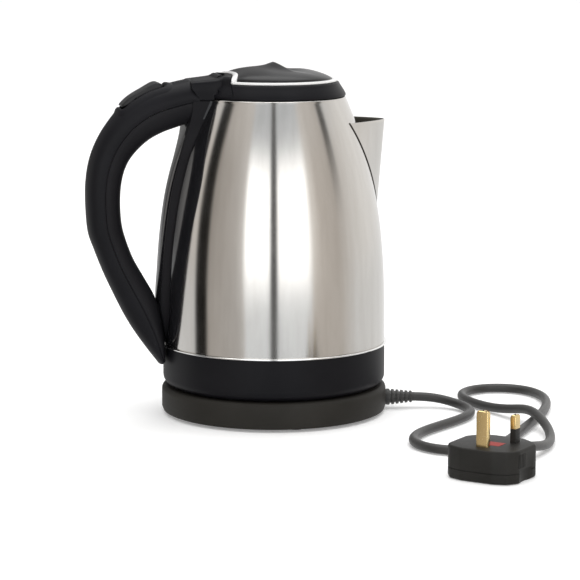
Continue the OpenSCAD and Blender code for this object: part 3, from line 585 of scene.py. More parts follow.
# finger ribs on both sides
for k in range(7):
    x = PLUG_X0 + 27.3 + k * 1.9
    for side in (-1, 1):
        carve(plug, block(x, x + 0.8, side * 25 - 0.7, side * 25 + 0.7, 9.5, 18.5))
place(at_plug(plug), "power_base", "plug_body", "plug_black")

ribs = [(2, 4.3), (4.8, 4.6), (5.0, 6.3), (7.3, 6.5), (7.5, 4.9), (9.8, 5.1), (10.0, 6.7),
        (12.3, 6.9), (12.5, 5.4), (14.8, 5.6), (15.0, 7.1), (17.3, 7.3), (17.5, 6.0),
        (19.8, 6.2), (20.0, 7.5), (24.1, 7.7)]
GROMMET_W, GROMMET_H = 0.93, 0.7052
grommet_rings = [[(x, GROMMET_W * r * power(math.cos(math.tau * k / 40), 0.6),
                   PLUG_AT[2] + GROMMET_H * r * power(math.sin(math.tau * k / 40), 0.6))
                  for k in range(40)] for x, r in ribs]
grommet = loft("plug_grommet_ribbed", grommet_rings, sharp=50)
place(at_plug(grommet), "power_base", "plug_grommet", "cord_rubber")


EARTH = (PLUG_X0 + 36, 0)
LIVE = ((PLUG_X0 + 14, -11.1), (PLUG_X0 + 14, 11.1))


def pin(name, cx, cy, lx, ly, z0, z1, tip):
    outline = filleted(box_outline(cx - lx / 2, cx + lx / 2, cy - ly / 2, cy + ly / 2), 0.5, 3)
    rings = prism(outline, z0, z1 - tip)
    rings += [[(x, y, z1 - tip * 0.35) for x, y in inset(outline, tip * 0.25)],
              [(x, y, z1) for x, y in inset(outline, tip * 0.7)]]
    return loft(name, rings)


pins = join(pin("plug_blades", *EARTH, 4, 8, PLUG_H - 3, PLUG_H + 22.7, 1.6),
            *[pin("blade", *p, 6.4, 4, PLUG_H + 9.1, PLUG_H + 17.7, 1.4) for p in LIVE])
place(at_plug(pins), "power_base", "plug_pins", "brass_contact")
sleeves = join(*[pin(f"plug_sleeving_{k}", *p, 6.35, 3.95, PLUG_H - 3, PLUG_H + 9.05, 0.1)
                 for k, p in enumerate(LIVE)])
place(at_plug(sleeves), "power_base", "plug_sleeves", "plug_black")

curve = bpy.data.curves.new("mains_lead", "CURVE")
curve.dimensions = "3D"
curve.bevel_depth = CORD_D / 2 * MM
curve.bevel_resolution = 6
curve.use_fill_caps = True
line = curve.splines.new("POLY")
line.points.add(len(cord_path) - 1)
for point, p in zip(line.points, cord_path):
    point.co = (p[0] * MM, p[1] * MM, p[2] * MM, 1)
line.use_smooth = True
cord = bpy.data.objects.new("mains_lead", curve)
scene.collection.objects.link(cord)
place(cord, "power_base", "cord", "cord_rubber")

relief_profile = [(73.8, 3.25), (73.8, 6.4), (76.1, 6.4), (76.1, 5.5), (80.2, 5.5), (80.2, 5.9)]
for k in range(5):
    d = 82.6 + k * 3.2
    r = 5.7 - k * 0.36
    relief_profile += [(d - 0.5, r), (d - 0.3, r - 1.15), (d + 0.9, r - 1.25), (d + 1.1, r - 0.1)]
relief_profile += [(97.6, 4.25), (98, 3.9), (98, 3.25)]
relief = along_lead(relief_profile, "lead_strain_relief")
place(relief, "power_base", "strain_relief", "cord_rubber")

# ---- Power base ------------------------------------------------------------------------

BASE_H, FOOT_GAP, DISH_Z, BASE_T = 20, 1.6, 13.5, 2.2


def base_top(t):
    """Outline of the base's upper side, t under it: a flat outer ring, then a dish."""
    dish = [(45.5, 19.95), (43, 19.75), (40.5, 19.2), (37.5, 18.2), (34, 16.9), (30.5, 15.7),
            (27, 14.75), (24, 14.15), (21.5, 13.8), (19, 13.6)]
    return ([(BASE_R - 0.9 - t, FOOT_GAP + 0.6), (BASE_R - t, FOOT_GAP + 3)]
            + arc(BASE_R - 3.5, BASE_H - 3.5, 3.5 - t, 0, 90, 8)
            + [(60, BASE_H - t), (50, BASE_H - 0.02 - t)] + [(r, z - t) for r, z in smooth(dish, 3)])


cover_profile = (base_top(0) + [(14.6, DISH_Z), (14.2, DISH_Z + 0.5), (13.5, DISH_Z + 0.5),
                                (13.45, DISH_Z - BASE_T)] + base_top(BASE_T)[::-1])
base_cover = lathe("base_shell", cover_profile, n=256)
hole = along_lead([(60, 0.01), (60, 5.75), (90, 5.75), (90, 0.01)], "cutter")
carve(base_cover, hole)
place(base_cover, "power_base", "base_cover", "base_black")

connector_profile = filleted(
    [(2.1, 16), (2.1, 29.2), (3.0, 29.6), (5.4, 29.6), (5.4, 7), (10.2, 7), (10.2, 29.0),
     (10.6, 30), (12.4, 30), (13.2, 29.1), (13.2, 7.2), (20, 7.2), (20, 4.2), (0, 4.2), (0, 16)],
    [0.2, 0.6, 0.4, 0.5, 0.3, 0.3, 0.3, 0.5, 0.7, 0.6, 0.3, 0.3, 0.3, 0, 0], 4)
connector = lathe("connector_moulding", connector_profile, n=128)
place(connector, "power_base", "base_connector", "coupler_plastic")
# bright spring contacts at the groove's outer wall
leaf_profile = [(9.75, 12), (10.12, 12), (10.12, 27.6), (9.85, 28.2), (9.6, 27.4)]
leaves = []
for turn in (35, 155, 275):
    rings = [[(r * u, r * v, z) for r, z in leaf_profile]
             for u, v in arc(0, 0, 1, turn - 7, turn + 7, 6)]
    leaves.append(loft("connector_spring_contacts", rings))
contacts = join(*leaves)
place(contacts, "power_base", None, "pin_steel")

foot_profile = [(0, 0), (5.0, 0), (5.5, 0.25), (6, 0.9), (6, 2.3), (0, 2.3)]
FOOT_R = 66
feet = join(*[moved(lathe("feet", foot_profile, n=40), Matrix.Identity(3), Vector((x, y, 0)))
              for x, y in circle(FOOT_R, 4)])
feet.name = "moulded_feet"
place(feet, "power_base", "rubber_feet", "foot_rubber")

# ---- Body ------------------------------------------------------------------------------

BODY_D, NECK_D, BODY_TOP, BODY_FOOT, BELLY_Z = 155.6, 99.6, 202, 30.4, 45
STEEL_T, SHOULDER = 0.6, 1.6


def body_r(z):
    return BODY_D / 2 - (BODY_D - NECK_D) / 2 * (max(0, z - BELLY_Z) / (BODY_TOP - BELLY_Z)) ** 2.5


def body_line(t):
    """Outline of the steel body's side and shoulder, t under its skin."""
    levels = [BODY_FOOT + (BODY_TOP - SHOULDER - BODY_FOOT) * (1 - (1 - k / 90) ** 1.2)
              for k in range(91)]
    cx, cz = body_r(BODY_TOP - SHOULDER) - SHOULDER, BODY_TOP - SHOULDER
    return [(body_r(z) - t, z) for z in levels] + arc(cx, cz, SHOULDER - t, 26, 90, 8)


vessel = lathe("vessel_sheet", body_line(0) + [(45.5, BODY_TOP), (45.5, BODY_TOP - STEEL_T)]
               + body_line(STEEL_T)[::-1], SEAT, n=256)
carve(vessel, loft("cutter", [[(40, y, 156), (52, y, 140), (90, y, 140), (90, y, 180.5),
                               (40, y, 180.5)] for y in (-17, 17)], SEAT))
place(vessel, "kettle", "vessel", "body_steel", steel)

bead = lathe("bright_bead", [(75.4, 29.1), (78.9, 29.1)] + arc(79.0, 29.7, 0.6, -80, 80, 8)
             + [(78.9, 30.3), (75.4, 30.3)], SEAT, n=256)
place(bead, "kettle", "trim_ring", "bright_trim")

SKIRT_R, SKIRT_ROUND, SKIRT_T, SKIRT_H, LIP_R = 78, 7, 2.6, 29, 66
c = SKIRT_R - SKIRT_ROUND
skirt = lathe("skirt_moulding",
              [(LIP_R, 0.5), (LIP_R + 0.5, 0)] + arc(c, SKIRT_ROUND, SKIRT_ROUND, -90, 0, 14)
              + [(SKIRT_R, SKIRT_H - 0.9)] + arc(SKIRT_R - 0.8, SKIRT_H - 0.8, 0.8, 10, 90, 5)
              + [(SKIRT_R - SKIRT_T, SKIRT_H)]
              + arc(c, SKIRT_ROUND, SKIRT_ROUND - SKIRT_T, 0, -90, 10) + [(LIP_R, SKIRT_T)],
              SEAT, n=256)
place(skirt, "kettle", "skirt", "satin_black", skirt_black)

# ---- Spout -----------------------------------------------------------------------------

SPOUT_LOW, SPOUT_TOP, SPOUT_REACH, SPOUT_HALF, SPOUT_WALL = 119, 184.5, 80, 33, 0.8


def spout_tip(z):
    """How far out the spout's front edge is."""
    return SPOUT_REACH - (SPOUT_REACH - body_r(SPOUT_LOW) - 0.9) * (SPOUT_TOP - z) / (
        SPOUT_TOP - SPOUT_LOW)


def spout_half(z):
    return max(1.2, SPOUT_HALF * ((z - SPOUT_LOW) / (SPOUT_TOP - SPOUT_LOW)) ** 0.65)


def spout_side(z, t, n):
    """Half of the spout's section, t under its skin: from the body to the front edge."""
    w, r = spout_half(z), body_r(z) + 0.12
    tip = (spout_tip(z) - t * 1.35, 0)
    edge_w = max(0.4, w - t * 1.5)
    edge = (math.sqrt(r * r - edge_w * edge_w), edge_w)
    knee = (tip[0] - 0.02 * w, 0.3 * edge_w)
    return [(edge[0] * (1 - s) ** 2 + knee[0] * 2 * s * (1 - s) + tip[0] * s * s,
             edge[1] * (1 - s) ** 2 + knee[1] * 2 * s * (1 - s), z)
            for s in [k / n for k in range(n + 1)]]


def spout_ring(z, thin=1.0):
    outer, inner = [spout_side(z, SPOUT_WALL * (1 + sign * thin) / 2, 24) for sign in (-1, 1)]
    return ([(x, -y, q) for x, y, q in outer] + outer[-2::-1]
            + inner + [(x, -y, q) for x, y, q in inner[-2::-1]])


SPOUT_MIDDLE = 45
levels = [SPOUT_LOW + 1 + (SPOUT_TOP - 0.35 - SPOUT_LOW - 1) * k / 48 for k in range(49)]
rings = [spout_ring(z) for z in levels]
rings += [[(x, y, SPOUT_TOP - 0.1) for x, y, z in spout_ring(SPOUT_TOP - 0.1, 0.7)],
          [(x, y, SPOUT_TOP) for x, y, z in spout_ring(SPOUT_TOP, 0.25)]]
spout = loft("spout_sheet", rings, SEAT, sharp=42, strip=True)
place(spout, "kettle", "spout", "body_steel", steel, shaded_steel)
# the spout's inner faces take the near-black steel, painted shade inside the spout
for face in spout.data.polygons:
    inward = Vector((SPOUT_MIDDLE, 0, 0)) * MM - face.center
    if face.normal.x * inward.x + face.normal.y * inward.y > 0:
        face.material_index = 1

# the pressed step where the spout's sheet is welded on, along both edges, in near-black steel as
# painted shade in the crease beside the body
for name, sign in (("spout_seam_a", -1), ("spout_seam_b", 1)):
    path = []
    for k in range(49):
        z = SPOUT_LOW + 0.6 + (SPOUT_TOP - 0.4 - SPOUT_LOW) * k / 48
        w, r = spout_half(z) + 0.9, body_r(z) + 0.02
        path.append((math.sqrt(r * r - w * w), sign * w, z))
    seam = sweep(name, path, circle(0.62, 12), flat=(0, 1, 0), lift=SEAT,
                 scale=lambda i: min(1, 0.35 + i / 8))
    # the seam's near-black steel is painted shade along the crease
    place(seam, "kettle", None, "body_steel", shaded_steel)

# ---- Collar and hinge cover ------------------------------------------------------------

MOUTH_R, RIM_Z, HINGE_X, HINGE_Z = 39.2, 212, -39.8, 214.5
TAIL_CX = -96.7          # centre of the arc that the hinge cover and lid meet along
COVER_ARC, TRIM_ARC, LID_ARC = 65.9, 66.3, 70.0
POCKET = 12.4
COLLAR_R = [(201, 50.35), (203.6, 50.15), (205, 49.5), (207, 48.3), (209, 47.0), (210.8, 45.9),
            (213, 45.2), (216, 44.8), (219, 44.6)]


def collar_r(z):
    return table(z, COLLAR_R)


collar_profile = (
    [(MOUTH_R, 198.3), (MOUTH_R + 0.3, 198), (MOUTH_R + 2, 198), (MOUTH_R + 2, 202.2),
     (49.3, 202.2), (49.9, 202.4), (50.2, 203.0), (50.15, 203.6)]
    + [(collar_r(z), z) for z in (204.3, 205, 206, 207, 208, 209, 210, 210.8)]
    + [(45.5, 211.5), (45.0, 211.9), (44.6, 212), (MOUTH_R + 0.4, 212), (MOUTH_R, 211.6)])
collar = lathe("collar_moulding", collar_profile, SEAT, n=224)
carve(collar, block(-70, HINGE_X + 4.0, -60, 60, 204.6, 225, SEAT))
place(collar, "kettle", "collar", "satin_black")


COVER_REAR, COVER_MIDDLE, COVER_FRONT = -61.2, -46, -28
COVER_TAPER = 1.3        # how far the sides lean in, up to the top


def cover_half(x):
    return table(x, [(COVER_REAR, 17.4), (-56, 18.3), (-50, 19.4), (-44, 20.1), (-30, 20.6)])


def cover_distance(x, y, z):
    """Below zero inside the hinge cover's plan at height z."""
    high = clamp((z - 206) / 12)
    strip = max(abs(y) - cover_half(x) + COVER_TAPER * high ** 1.6, COVER_REAR - x)
    round_part = math.hypot(x, y) - collar_r(z) + 0.03
    k = 1.4
    h = clamp(0.5 + 0.5 * (round_part - strip) / k)
    joined = round_part * (1 - h) + strip * h - k * h * (1 - h)
    return max(joined, x - COVER_FRONT)


def cover_ring(z, shrink, n=220):
    ring = []
    for k in range(n):
        a = math.tau * (k + 0.5) / n
        low, high = 0.0, 60.0
        for _ in range(16):
            mid = (low + high) / 2
            x, y = COVER_MIDDLE + mid * math.cos(a), mid * math.sin(a)
            inside = cover_distance(x, y, z) < -shrink
            low, high = (mid, high) if inside else (low, mid)
        ring.append((COVER_MIDDLE + low * math.cos(a), low * math.sin(a), z))
    return ring


def cover_lean(x):
    """How far the cover's top lies under its highest line, along its length."""
    return table(x, [(COVER_REAR, -3.6), (-55, -3.0), (-48, -2.3), (-43, -1.6), (-40.5, -0.5),
                     (-36, 0)])


COVER_TOP, EDGE_R, EDGE_H = 217.35, 3.6, 2.7
cover_rings = [cover_ring(z, s) for z, s in [(200.95, 0.5), (201.1, 0.1), (201.4, 0)]
               + [(z, 0) for z in range(202, 214)]]
for k in range(1, 13):
    a = math.pi / 2 * k / 12
    cover_rings.append(cover_ring(COVER_TOP - EDGE_H * (1 - math.sin(a)) - 0.05,
                                  EDGE_R * (1 - math.cos(a))))
flat = cover_rings[-1]
for t in (0.75, 0.5, 0.25, 0.02):
    cover_rings.append([(COVER_MIDDLE + (x - COVER_MIDDLE) * t, y * t, COVER_TOP - 0.05 * t)
                        for x, y, z in flat])
for ring in cover_rings:
    for i, (x, y, z) in enumerate(ring):
        ring[i] = (x, y, z + cover_lean(x) * clamp((z - 208) / 10))
cover = loft("hinge_cover", cover_rings, SEAT, sharp=50)
# the front follows the lid's tail, and its upper edge is rounded about the hinge
front = []
for k in range(49):
    y = -40 + 80 * k / 48
    reach = max(3.7, math.sqrt(COVER_ARC ** 2 - y * y) + TAIL_CX - HINGE_X)
    turned = arc(HINGE_X, HINGE_Z, reach, 0, 80, 12)
    front.append([(x, y, z) for x, z in [(HINGE_X + reach, 190)] + turned
                  + [(turned[-1][0], 240), (60, 240), (60, 190)]])
carve(cover, loft("cutter", front, SEAT), sharp=50)
# fine seams: across the top, and down the side to where the round collar begins
carve(cover, block(-45.1, -44.8, -30, 30, 216.2, 222, SEAT), sharp=50)
for side in (-1, 1):
    carve(cover, block(-43.6, -43.3, side * 21 - 1.3, side * 21 + 1.3, 204.9, 221, SEAT),
          sharp=50)
carve(cover, rod(0, 0, 195, 204.65, 50.4, SEAT, n=160), sharp=50)
# its lower rear corner is cut away at a slant, where the grip's side shows
slant = [(-70, 209.6), (-61.6, 209.6), (-60.6, 208.6), (-54.4, 200), (-70, 200)]
carve(cover, loft("cutter", [[(x, y, z) for x, z in slant] for y in (-30, 30)], SEAT), sharp=50)
carve(cover, rod(0, 0, 199.7, RIM_Z - 0.15, MOUTH_R + 0.3, SEAT, n=150), sharp=50)
carve(cover, block(HINGE_X - 3.7, -20, -POCKET, POCKET, 210.8, 240, SEAT), sharp=50)
place(cover, "kettle", "top_cover", "satin_black")

# ---- Handle ----------------------------------------------------------------------------

# outer edge x, z, inner edge x, z, half width
GRIP = [
    (-61.5, 214.5, -61.5, 184, 17.5), (-74, 212, -70, 181.5, 17), (-86, 209.1, -80, 178, 16.5),
    (-97, 204.1, -89, 173.2, 16), (-107.5, 196.6, -96.5, 166.8, 15.5),
    (-117, 185.5, -102.5, 159.5, 15), (-124.5, 173.5, -106, 152, 14.5),
    (-129.6, 160.5, -108, 143.5, 14.5), (-132.2, 146, -108.8, 135, 14.5),
    (-132.6, 130, -108.8, 125, 14.5), (-131.2, 111, -107.8, 114.5, 14.5),
    (-127, 98, -105, 104, 14.5), (-120.8, 82, -100.2, 91.5, 14.5), (-113.5, 66, -93.6, 79.5, 14.5),
    (-105.5, 50, -85.6, 65, 14.5), (-97.5, 37, -81.6, 52, 14.5), (-89.3, 25.5, -79.3, 36, 14.3),
    (-82.8, 17, -78.9, 21, 13.2),
]
GRIP_T = 2.2
GRIP_SQUARENESS = 2.35   # 2 would make its section an ellipse
GRIP_LIP = 0.55          # how far the shells' edges roll in, so that a fine joint shows


def grip_point(s, angle, t):
    """Point on the grip's section, t under its skin. The angle is 0 at its outer edge."""
    outer, inner = Vector((s[0], s[1])), Vector((s[2], s[3]))
    depth = (outer - inner).length / 2
    mid, out = (outer + inner) / 2, (outer - inner).normalized()
    u = max(0.3, depth - t) * power(math.cos(angle), 2 / GRIP_SQUARENESS)
    v = max(0.3, s[4] - t) * power(math.sin(angle), 2 / GRIP_SQUARENESS)
    return (mid.x + out.x * u, v, mid.y + out.y * u)


# both shells run on under the hinge cover, the palm's as far as the bracket's ridge
GRIP_ROOT = [(-51, 215.4, -58.2, 183.2, 19.0), (-56, 215.1, -60, 183.5, 18.2)]
GRIP_TOP_ROOT = [(-53.5, 213.2, -58.8, 183.3, 18.6), (-58, 213.4, -60.6, 183.7, 17.9)]


def grip_half(name, a0, stations):
    """One half of the hollow grip, which starts at the angle a0 of its section."""
    n = 30
    angles = [math.radians(a0 + 179.2 * k / n) for k in range(n + 1)]
    rolls = [GRIP_LIP * max(0, 1 - min(k, n - k) / 1.5) ** 2 for k in range(n + 1)]
    rings = []
    for s in smooth(stations, 6):
        t = min(GRIP_T, math.hypot(s[0] - s[2], s[1] - s[3]) / 3)
        rings.append([grip_point(s, angle, roll) for angle, roll in zip(angles, rolls)]
                     + [grip_point(s, angle, t) for angle in reversed(angles)])
    return loft(name, rings, SEAT, sharp=45, strip=True)


grip_outer = grip_half("grip_back_shell", -89.6, GRIP_TOP_ROOT + GRIP)
grip_inner = grip_half("grip_palm_shell", 90.4, GRIP_ROOT + GRIP)

ROCKER_AT = Vector((-93.6, 0, 204.3 + SEAT))
ROCKER_TILT = math.radians(-24.9)
rocker_turn = Matrix.Rotation(ROCKER_TILT, 3, "Y")


def at_rocker(obj):
    return moved(obj, rocker_turn, ROCKER_AT)


# the grip's skin round the rocker, to lay the raised surround on
surface = BVHTree.FromObject(grip_outer, bpy.context.evaluated_depsgraph_get())


def on_grip(u, v):
    """Height of the grip's skin over the rocker's own plane, in mm."""
    start = (rocker_turn @ Vector((u, v, 30)) + ROCKER_AT) * MM
    hit = surface.ray_cast(start, rocker_turn @ Vector((0, 0, -1)))
    return 30 - hit[3] / MM if hit[0] else 0.0


opening = filleted(box_outline(-16.9, 16.9, -8.6, 8.6), 3.2, 6)
carve(grip_outer, at_rocker(loft("cutter", prism(opening, -12, 30))), sharp=45)
place(grip_outer, "kettle", "handle_outer", "handle_black")
place(grip_inner, "kettle", "handle_inner", "grip_black")

# the surround: a low ridge whose section is (outwards, up) from this line over the grip's skin
around = filleted(box_outline(-19.0, 19.5, -10.4, 10.4), 5.0, 8)
fine = []
for a, b in zip(around, around[1:] + around[:1]):
    steps = max(1, round((Vector(b) - Vector(a)).length / 2))
    fine += [tuple(lerp(a, b, k / steps)) for k in range(steps)]
surround_rings = []
for i, (x, y) in enumerate(fine):
    a, b = Vector(fine[i - 1]), Vector(fine[(i + 1) % len(fine)])
    d = (b - a).normalized()
    out = Vector((d.y, -d.x))
    ring = []
    for reach, rise in ((-2.3, -2.5), (-2.2, 0.35), (-1.6, 1.0), (-0.6, 1.25), (0.5, 1.05),
                        (1.6, 0.55), (2.6, 0.1), (3.0, -0.5), (2.4, -2.5)):
        u, v = x + out.x * reach, y + out.y * reach
        ring.append((u, v, on_grip(x + out.x * max(reach, -1.2), y + out.y * max(reach, -1.2))
                     + rise))
    surround_rings.append(ring)
surround = at_rocker(loft("rocker_surround", surround_rings, closed=True, sharp=60))
place(surround, "kettle", None, "handle_black")

ROCKER_TOP = [(-16, 0.2), (-14, 1.0), (-11.5, 1.9), (-7.4, 2.9), (-2, 3.5), (2.5, 3.8),
              (8, 4.3), (11.6, 4.2), (14, 3.2), (16, 0.6)]
ROCKER_HALF_L, ROCKER_HALF_W = 15.9, 7.85
rocker_rings = []
for k in range(33):
    x = ROCKER_HALF_L * (k / 16 - 1)
    top = table(x, ROCKER_TOP)
    end = clamp((ROCKER_HALF_L - abs(x)) / 2.0)
    half = ROCKER_HALF_W - 1.6 * (1 - math.sqrt(1 - (1 - end) ** 2))
    under = -0.9 if abs(x) > 6 else 0.5          # clear of the housing's cheeks
    ring = [(x, -half, under)]
    for j in range(17):
        a = math.pi * (1 - j / 16)
        y = half * power(math.cos(a), 0.42)
        drop = 1.9 * (1 - power(math.sin(a), 0.42))
        dimple = 0.35 * math.exp(-((x - 6) / 4.5) ** 2 - (y / 4.5) ** 2)
        ring.append((x, y, max(under + 0.1, top - drop - dimple)))
    ring.append((x, half, under))
    rocker_rings.append(ring)
rocker = loft("rocker_pad", rocker_rings, sharp=50)
stem = loft("stem", [[(x, y, z) for x, y in box_outline(-w, w, -3.6, 3.6)]
                     for z, w in ((-5.6, 2.4), (1.2, 3))])
rocker = at_rocker(join(rocker, stem))
place(rocker, "rocker", "rocker_switch", "gloss_black")

# ---- Bracket ---------------------------------------------------------------------------

# height, rear of the spine, half width on the steel
BRACKET = [
    (31.5, -79.2, 14), (38, -80.6, 22), (46, -82.2, 26.2), (56, -83.9, 28), (67, -84.2, 29.8),
    (82, -83, 31.5), (100, -81.6, 33.6), (118, -79.6, 35.2), (135, -76.9, 36),
    (150, -73.4, 35), (165, -69, 32), (179, -64.8, 28.4), (190, -62, 26), (200.6, -61, 23.5),
]
# height, then x and y of the ridge where the glossy flank begins
RIDGE_X = [(31.5, -77.4), (45, -77.2), (65, -77), (107, -72.2), (135, -68.4), (163, -61.8),
           (174, -58.4), (189, -51.8), (200.6, -46.4)]
RIDGE_Y = [(31.5, 5), (45, 9.5), (65, 12), (107, 14), (135, 14.4), (163, 15), (174, 16),
           (189, 18.4), (200.6, 19.7)]
HOLLOW_PULL = 2.6        # how tightly the flank's hollow turns


def bracket_ring(level, n=16):
    z, spine, w = level
    wall = body_r(min(z, 199)) + 0.2
    edge = Vector((-math.sqrt(wall * wall - w * w), w))
    ridge = Vector((table(z, RIDGE_X), table(z, RIDGE_Y)))
    top = clamp((z - 158) / 30)          # the spine broadens into the grip's sides
    shoulder = Vector((spine + 2.3 * (1 - top) + 0.6 * top,
                       ridge.y * (0.66 + 0.28 * top)))
    # rear face, a shallow hollow, a raised ridge, then the deep glossy flank
    side = [(spine + (shoulder.x - spine) * (k / 6) ** 3, shoulder.y * k / 6) for k in range(7)]
    hollow = (shoulder + ridge) / 2 + Vector((0.9, -0.3)) * (1 - top)
    for k in range(1, 7):
        t = k / 6
        p = shoulder * (1 - t) ** 2 + hollow * 2 * t * (1 - t) + ridge * t * t
        side.append((p.x, p.y))
    dip = Vector(((ridge.x + edge.x) / 2 + 3.0, ridge.y + (edge.y - ridge.y) * 0.2))
    for k in range(1, n + 1):
        t = k / n
        start, bend, end = (1 - t) ** 2, 2 * HOLLOW_PULL * t * (1 - t), t * t
        p = (ridge * start + dip * bend + edge * end) / (start + bend + end)
        reach = math.hypot(p.x, p.y)
        if reach < wall + 0.25:
            p = p * ((wall + 0.25) / reach)
        side.append((p.x, p.y))
    loop = [(x, y, z) for x, y in reversed(side)] + [(x, -y, z) for x, y in side[1:]]
    a = math.asin(clamp(w / wall))
    count = len(loop)
    back = [(-(wall - 0.1) * math.cos(-a + 2 * a * k / (count - 1)),
             (wall - 0.1) * math.sin(-a + 2 * a * k / (count - 1)), z) for k in range(count)]
    return loop + back


levels = smooth(BRACKET, 6)
bracket = loft("bracket_leaf", [bracket_ring(level) for level in levels], SEAT, sharp=30,
               strip=True)
place(bracket, "kettle", "handle_bracket", "gloss_black", BY_SLOT["grip_black"], bracket_black)
for face in bracket.data.polygons:
    x, y, z = face.center / MM
    z -= SEAT
    spine_face = abs(y) < table(z, RIDGE_Y) * 0.62 and z < 184
    if spine_face or abs(y) > table(z, RIDGE_Y) - 0.1:
        face.material_index = 1

# ---- Lid -------------------------------------------------------------------------------

LID_R, LID_Z = 40.6, 213.9
CROWN_H = [(-31.4, 4.2), (-26.6, 4.7), (-22, 6.3), (-17, 7.4), (-8, 8.3), (0, 8.4), (10, 8.0),
           (20, 6.9), (28, 5.3), (34, 3.5), (38, 1.8), (40.6, 0.25)]
CROWN_N = [(-27, 2.5), (-15, 2.3), (5, 2.15), (40.6, 2.0)]
CREST_Y = 27.0


def rho_width(rho, r):
    """Half width of the arc of radius rho about the tail's centre inside a circle of radius r."""
    x = (rho * rho - r * r - TAIL_CX ** 2) / (-2 * TAIL_CX)
    return math.sqrt(max(0.0, r * r - x * x))


def lid_point(rho, w, h, n, t):
    y = w * power(math.cos(t), 2 / n)
    return (TAIL_CX + math.sqrt(rho * rho - y * y), y, LID_Z + h * power(math.sin(t), 2 / n))


def shape_top(p):
    """The crescent lip across the lid's crown, and the finger hollow in front of it."""
    x, y, z = p
    if abs(y) >= CREST_Y or z < LID_Z + 1:
        return p
    fade = (1 - (y / CREST_Y) ** 2) ** 1.2
    dx = x - 0.6 - 7.4 * (y / CREST_Y) ** 2
    lip = table(dx, [(-16, 0), (-11, 0.12), (-6, 0.9), (-2.5, 2.2), (-0.5, 2.95), (0, 3.0),
                     (0.3, 2.7), (1.5, 1.2), (3.5, -0.7), (6.5, -2.0), (10, -2.1), (15, -1.2),
                     (20, -0.35), (25, 0)])
    return (x, y, z + lip * fade)


lid_rings = []
rho_end = -TAIL_CX + LID_R
LID_STEPS = 220
for k in range(LID_STEPS + 1):
    t = k / LID_STEPS
    rho = LID_ARC + 0.15 + (rho_end - 0.08 - LID_ARC - 0.15) * (1 - (1 - t) ** 1.3)
    w = rho_width(rho, LID_R)
    x0 = rho + TAIL_CX
    lid_rings.append([shape_top(lid_point(rho, w, table(x0, CROWN_H), table(x0, CROWN_N),
                                          math.pi * (1 - j / 100))) for j in range(101)])
lid = loft("lid_shell", lid_rings, SEAT, sharp=45)
tail_h = table(LID_ARC + TAIL_CX, CROWN_H)
ARCH_W, ARCH_T, ARCH_N = 26.0, 1.3, 2.6


def arch_point(rho, drop, t):
    return lid_point(rho, ARCH_W - drop, tail_h + 0.3 - drop, ARCH_N, t)


tail_rings = [[arch_point(rho, ARCH_T + 0.1, math.pi * (1 - j / 60)) for j in range(61)]
              for rho in (TRIM_ARC + 0.15, LID_ARC + 0.6)]
lid = join(lid, loft("tail", tail_rings, SEAT))
place(lid, "lid", "lid_cover", "lid_black")

arch_rings = [[arch_point(rho, drop, math.pi * (1 - j / 72)) for rho, drop in
               ((TRIM_ARC + 0.35, 0.25), (TRIM_ARC, 0.7), (TRIM_ARC, ARCH_T),
                (LID_ARC, ARCH_T), (LID_ARC, 0.7), (LID_ARC - 0.35, 0.25),
                (LID_ARC - 1.2, 0.0), (TRIM_ARC + 1.2, 0.0))] for j in range(73)]
arch = loft("lid_arch", arch_rings, SEAT, sharp=50)
band_profile = filleted([(LID_R + 0.1, 212.3), (44.2, 212.3), (44.2, 214.0), (LID_R + 0.1, 214.0)],
                        0.45, 4)
band = lathe("trim_band", band_profile, SEAT, n=224, sharp=50)
carve(band, rod(TAIL_CX, 0, 200, 230, TRIM_ARC, SEAT, n=256), sharp=50)
trim = join(arch, band)
trim.name = "lid_bright_trim"
place(trim, "lid", "lid_trim", "bright_trim", satin_silver)

# ---- Stage, light and surroundings -----------------------------------------------------


def stage_plane():
    """Floor that runs back and curves up into a wall, all one pale sheet."""
    rows = [(-6 + 18 * k / 40, 0.0) for k in range(40)] + arc(12, 3, 3, -90, 0, 12) + [(15, 9)]
    verts = [(x, y, z - 0.0002) for y, z in rows for x in (-14, 14)]
    faces = [(2 * i, 2 * i + 1, 2 * i + 3, 2 * i + 2) for i in range(len(rows) - 1)]
    mesh = bpy.data.meshes.new("studio_floor")
    mesh.from_pydata(verts, [], faces)
    for face in mesh.polygons:
        face.use_smooth = True
    obj = bpy.data.objects.new("studio_floor", mesh)
    scene.collection.objects.link(obj)
    m = plain("studio_floor", Roughness=0.9, Specular_IOR_Level=0.2,
              Emission_Color=(1, 1, 1, 1), Emission_Strength=0.22)
    m.link(m.ramp(m.noise(1.2, 2), [(0.3, (0.865, 0.865, 0.862)), (0.7, (0.885, 0.885, 0.883))]),
           m.shader.inputs["Base Color"])
    mesh.materials.append(m.owner)
    # the steel mirrors the studio's panels down to their feet, as it would on a narrow table
    obj.visible_glossy = False


stage_plane()

world = bpy.data.worlds.new("studio")
scene.world = world
w = Nodes(world, place="Generated")
axes = w.add("ShaderNodeSeparateXYZ")
w.link(w.place, axes.inputs["Vector"])
# azimuth in degrees, 0 towards the picture's viewpoint and growing to its right
VIEW_AZIMUTH = math.degrees(math.atan2(CAMERA_AT.y, CAMERA_AT.x))
azimuth = w.math("ARCTAN2", axes.outputs["Y"], axes.outputs["X"])
azimuth = w.math("MULTIPLY", azimuth, 180 / math.pi)
azimuth = w.math("SUBTRACT", azimuth, VIEW_AZIMUTH)
azimuth = w.math("WRAP", azimuth, 180, -180)
elevation = w.math("MULTIPLY", w.math("ARCSINE", axes.outputs["Z"]), 180 / math.pi)


def greys(value, stops):
    """Greys by angle, through stops of (angle, brightness) or (angle, brightness, warmth)."""
    rows = [(*stop, 0)[:3] for stop in stops]
    return w.ramp(value, [(at, (v * (1 + warm), v, v * (1 - warm))) for at, v, warm in rows])


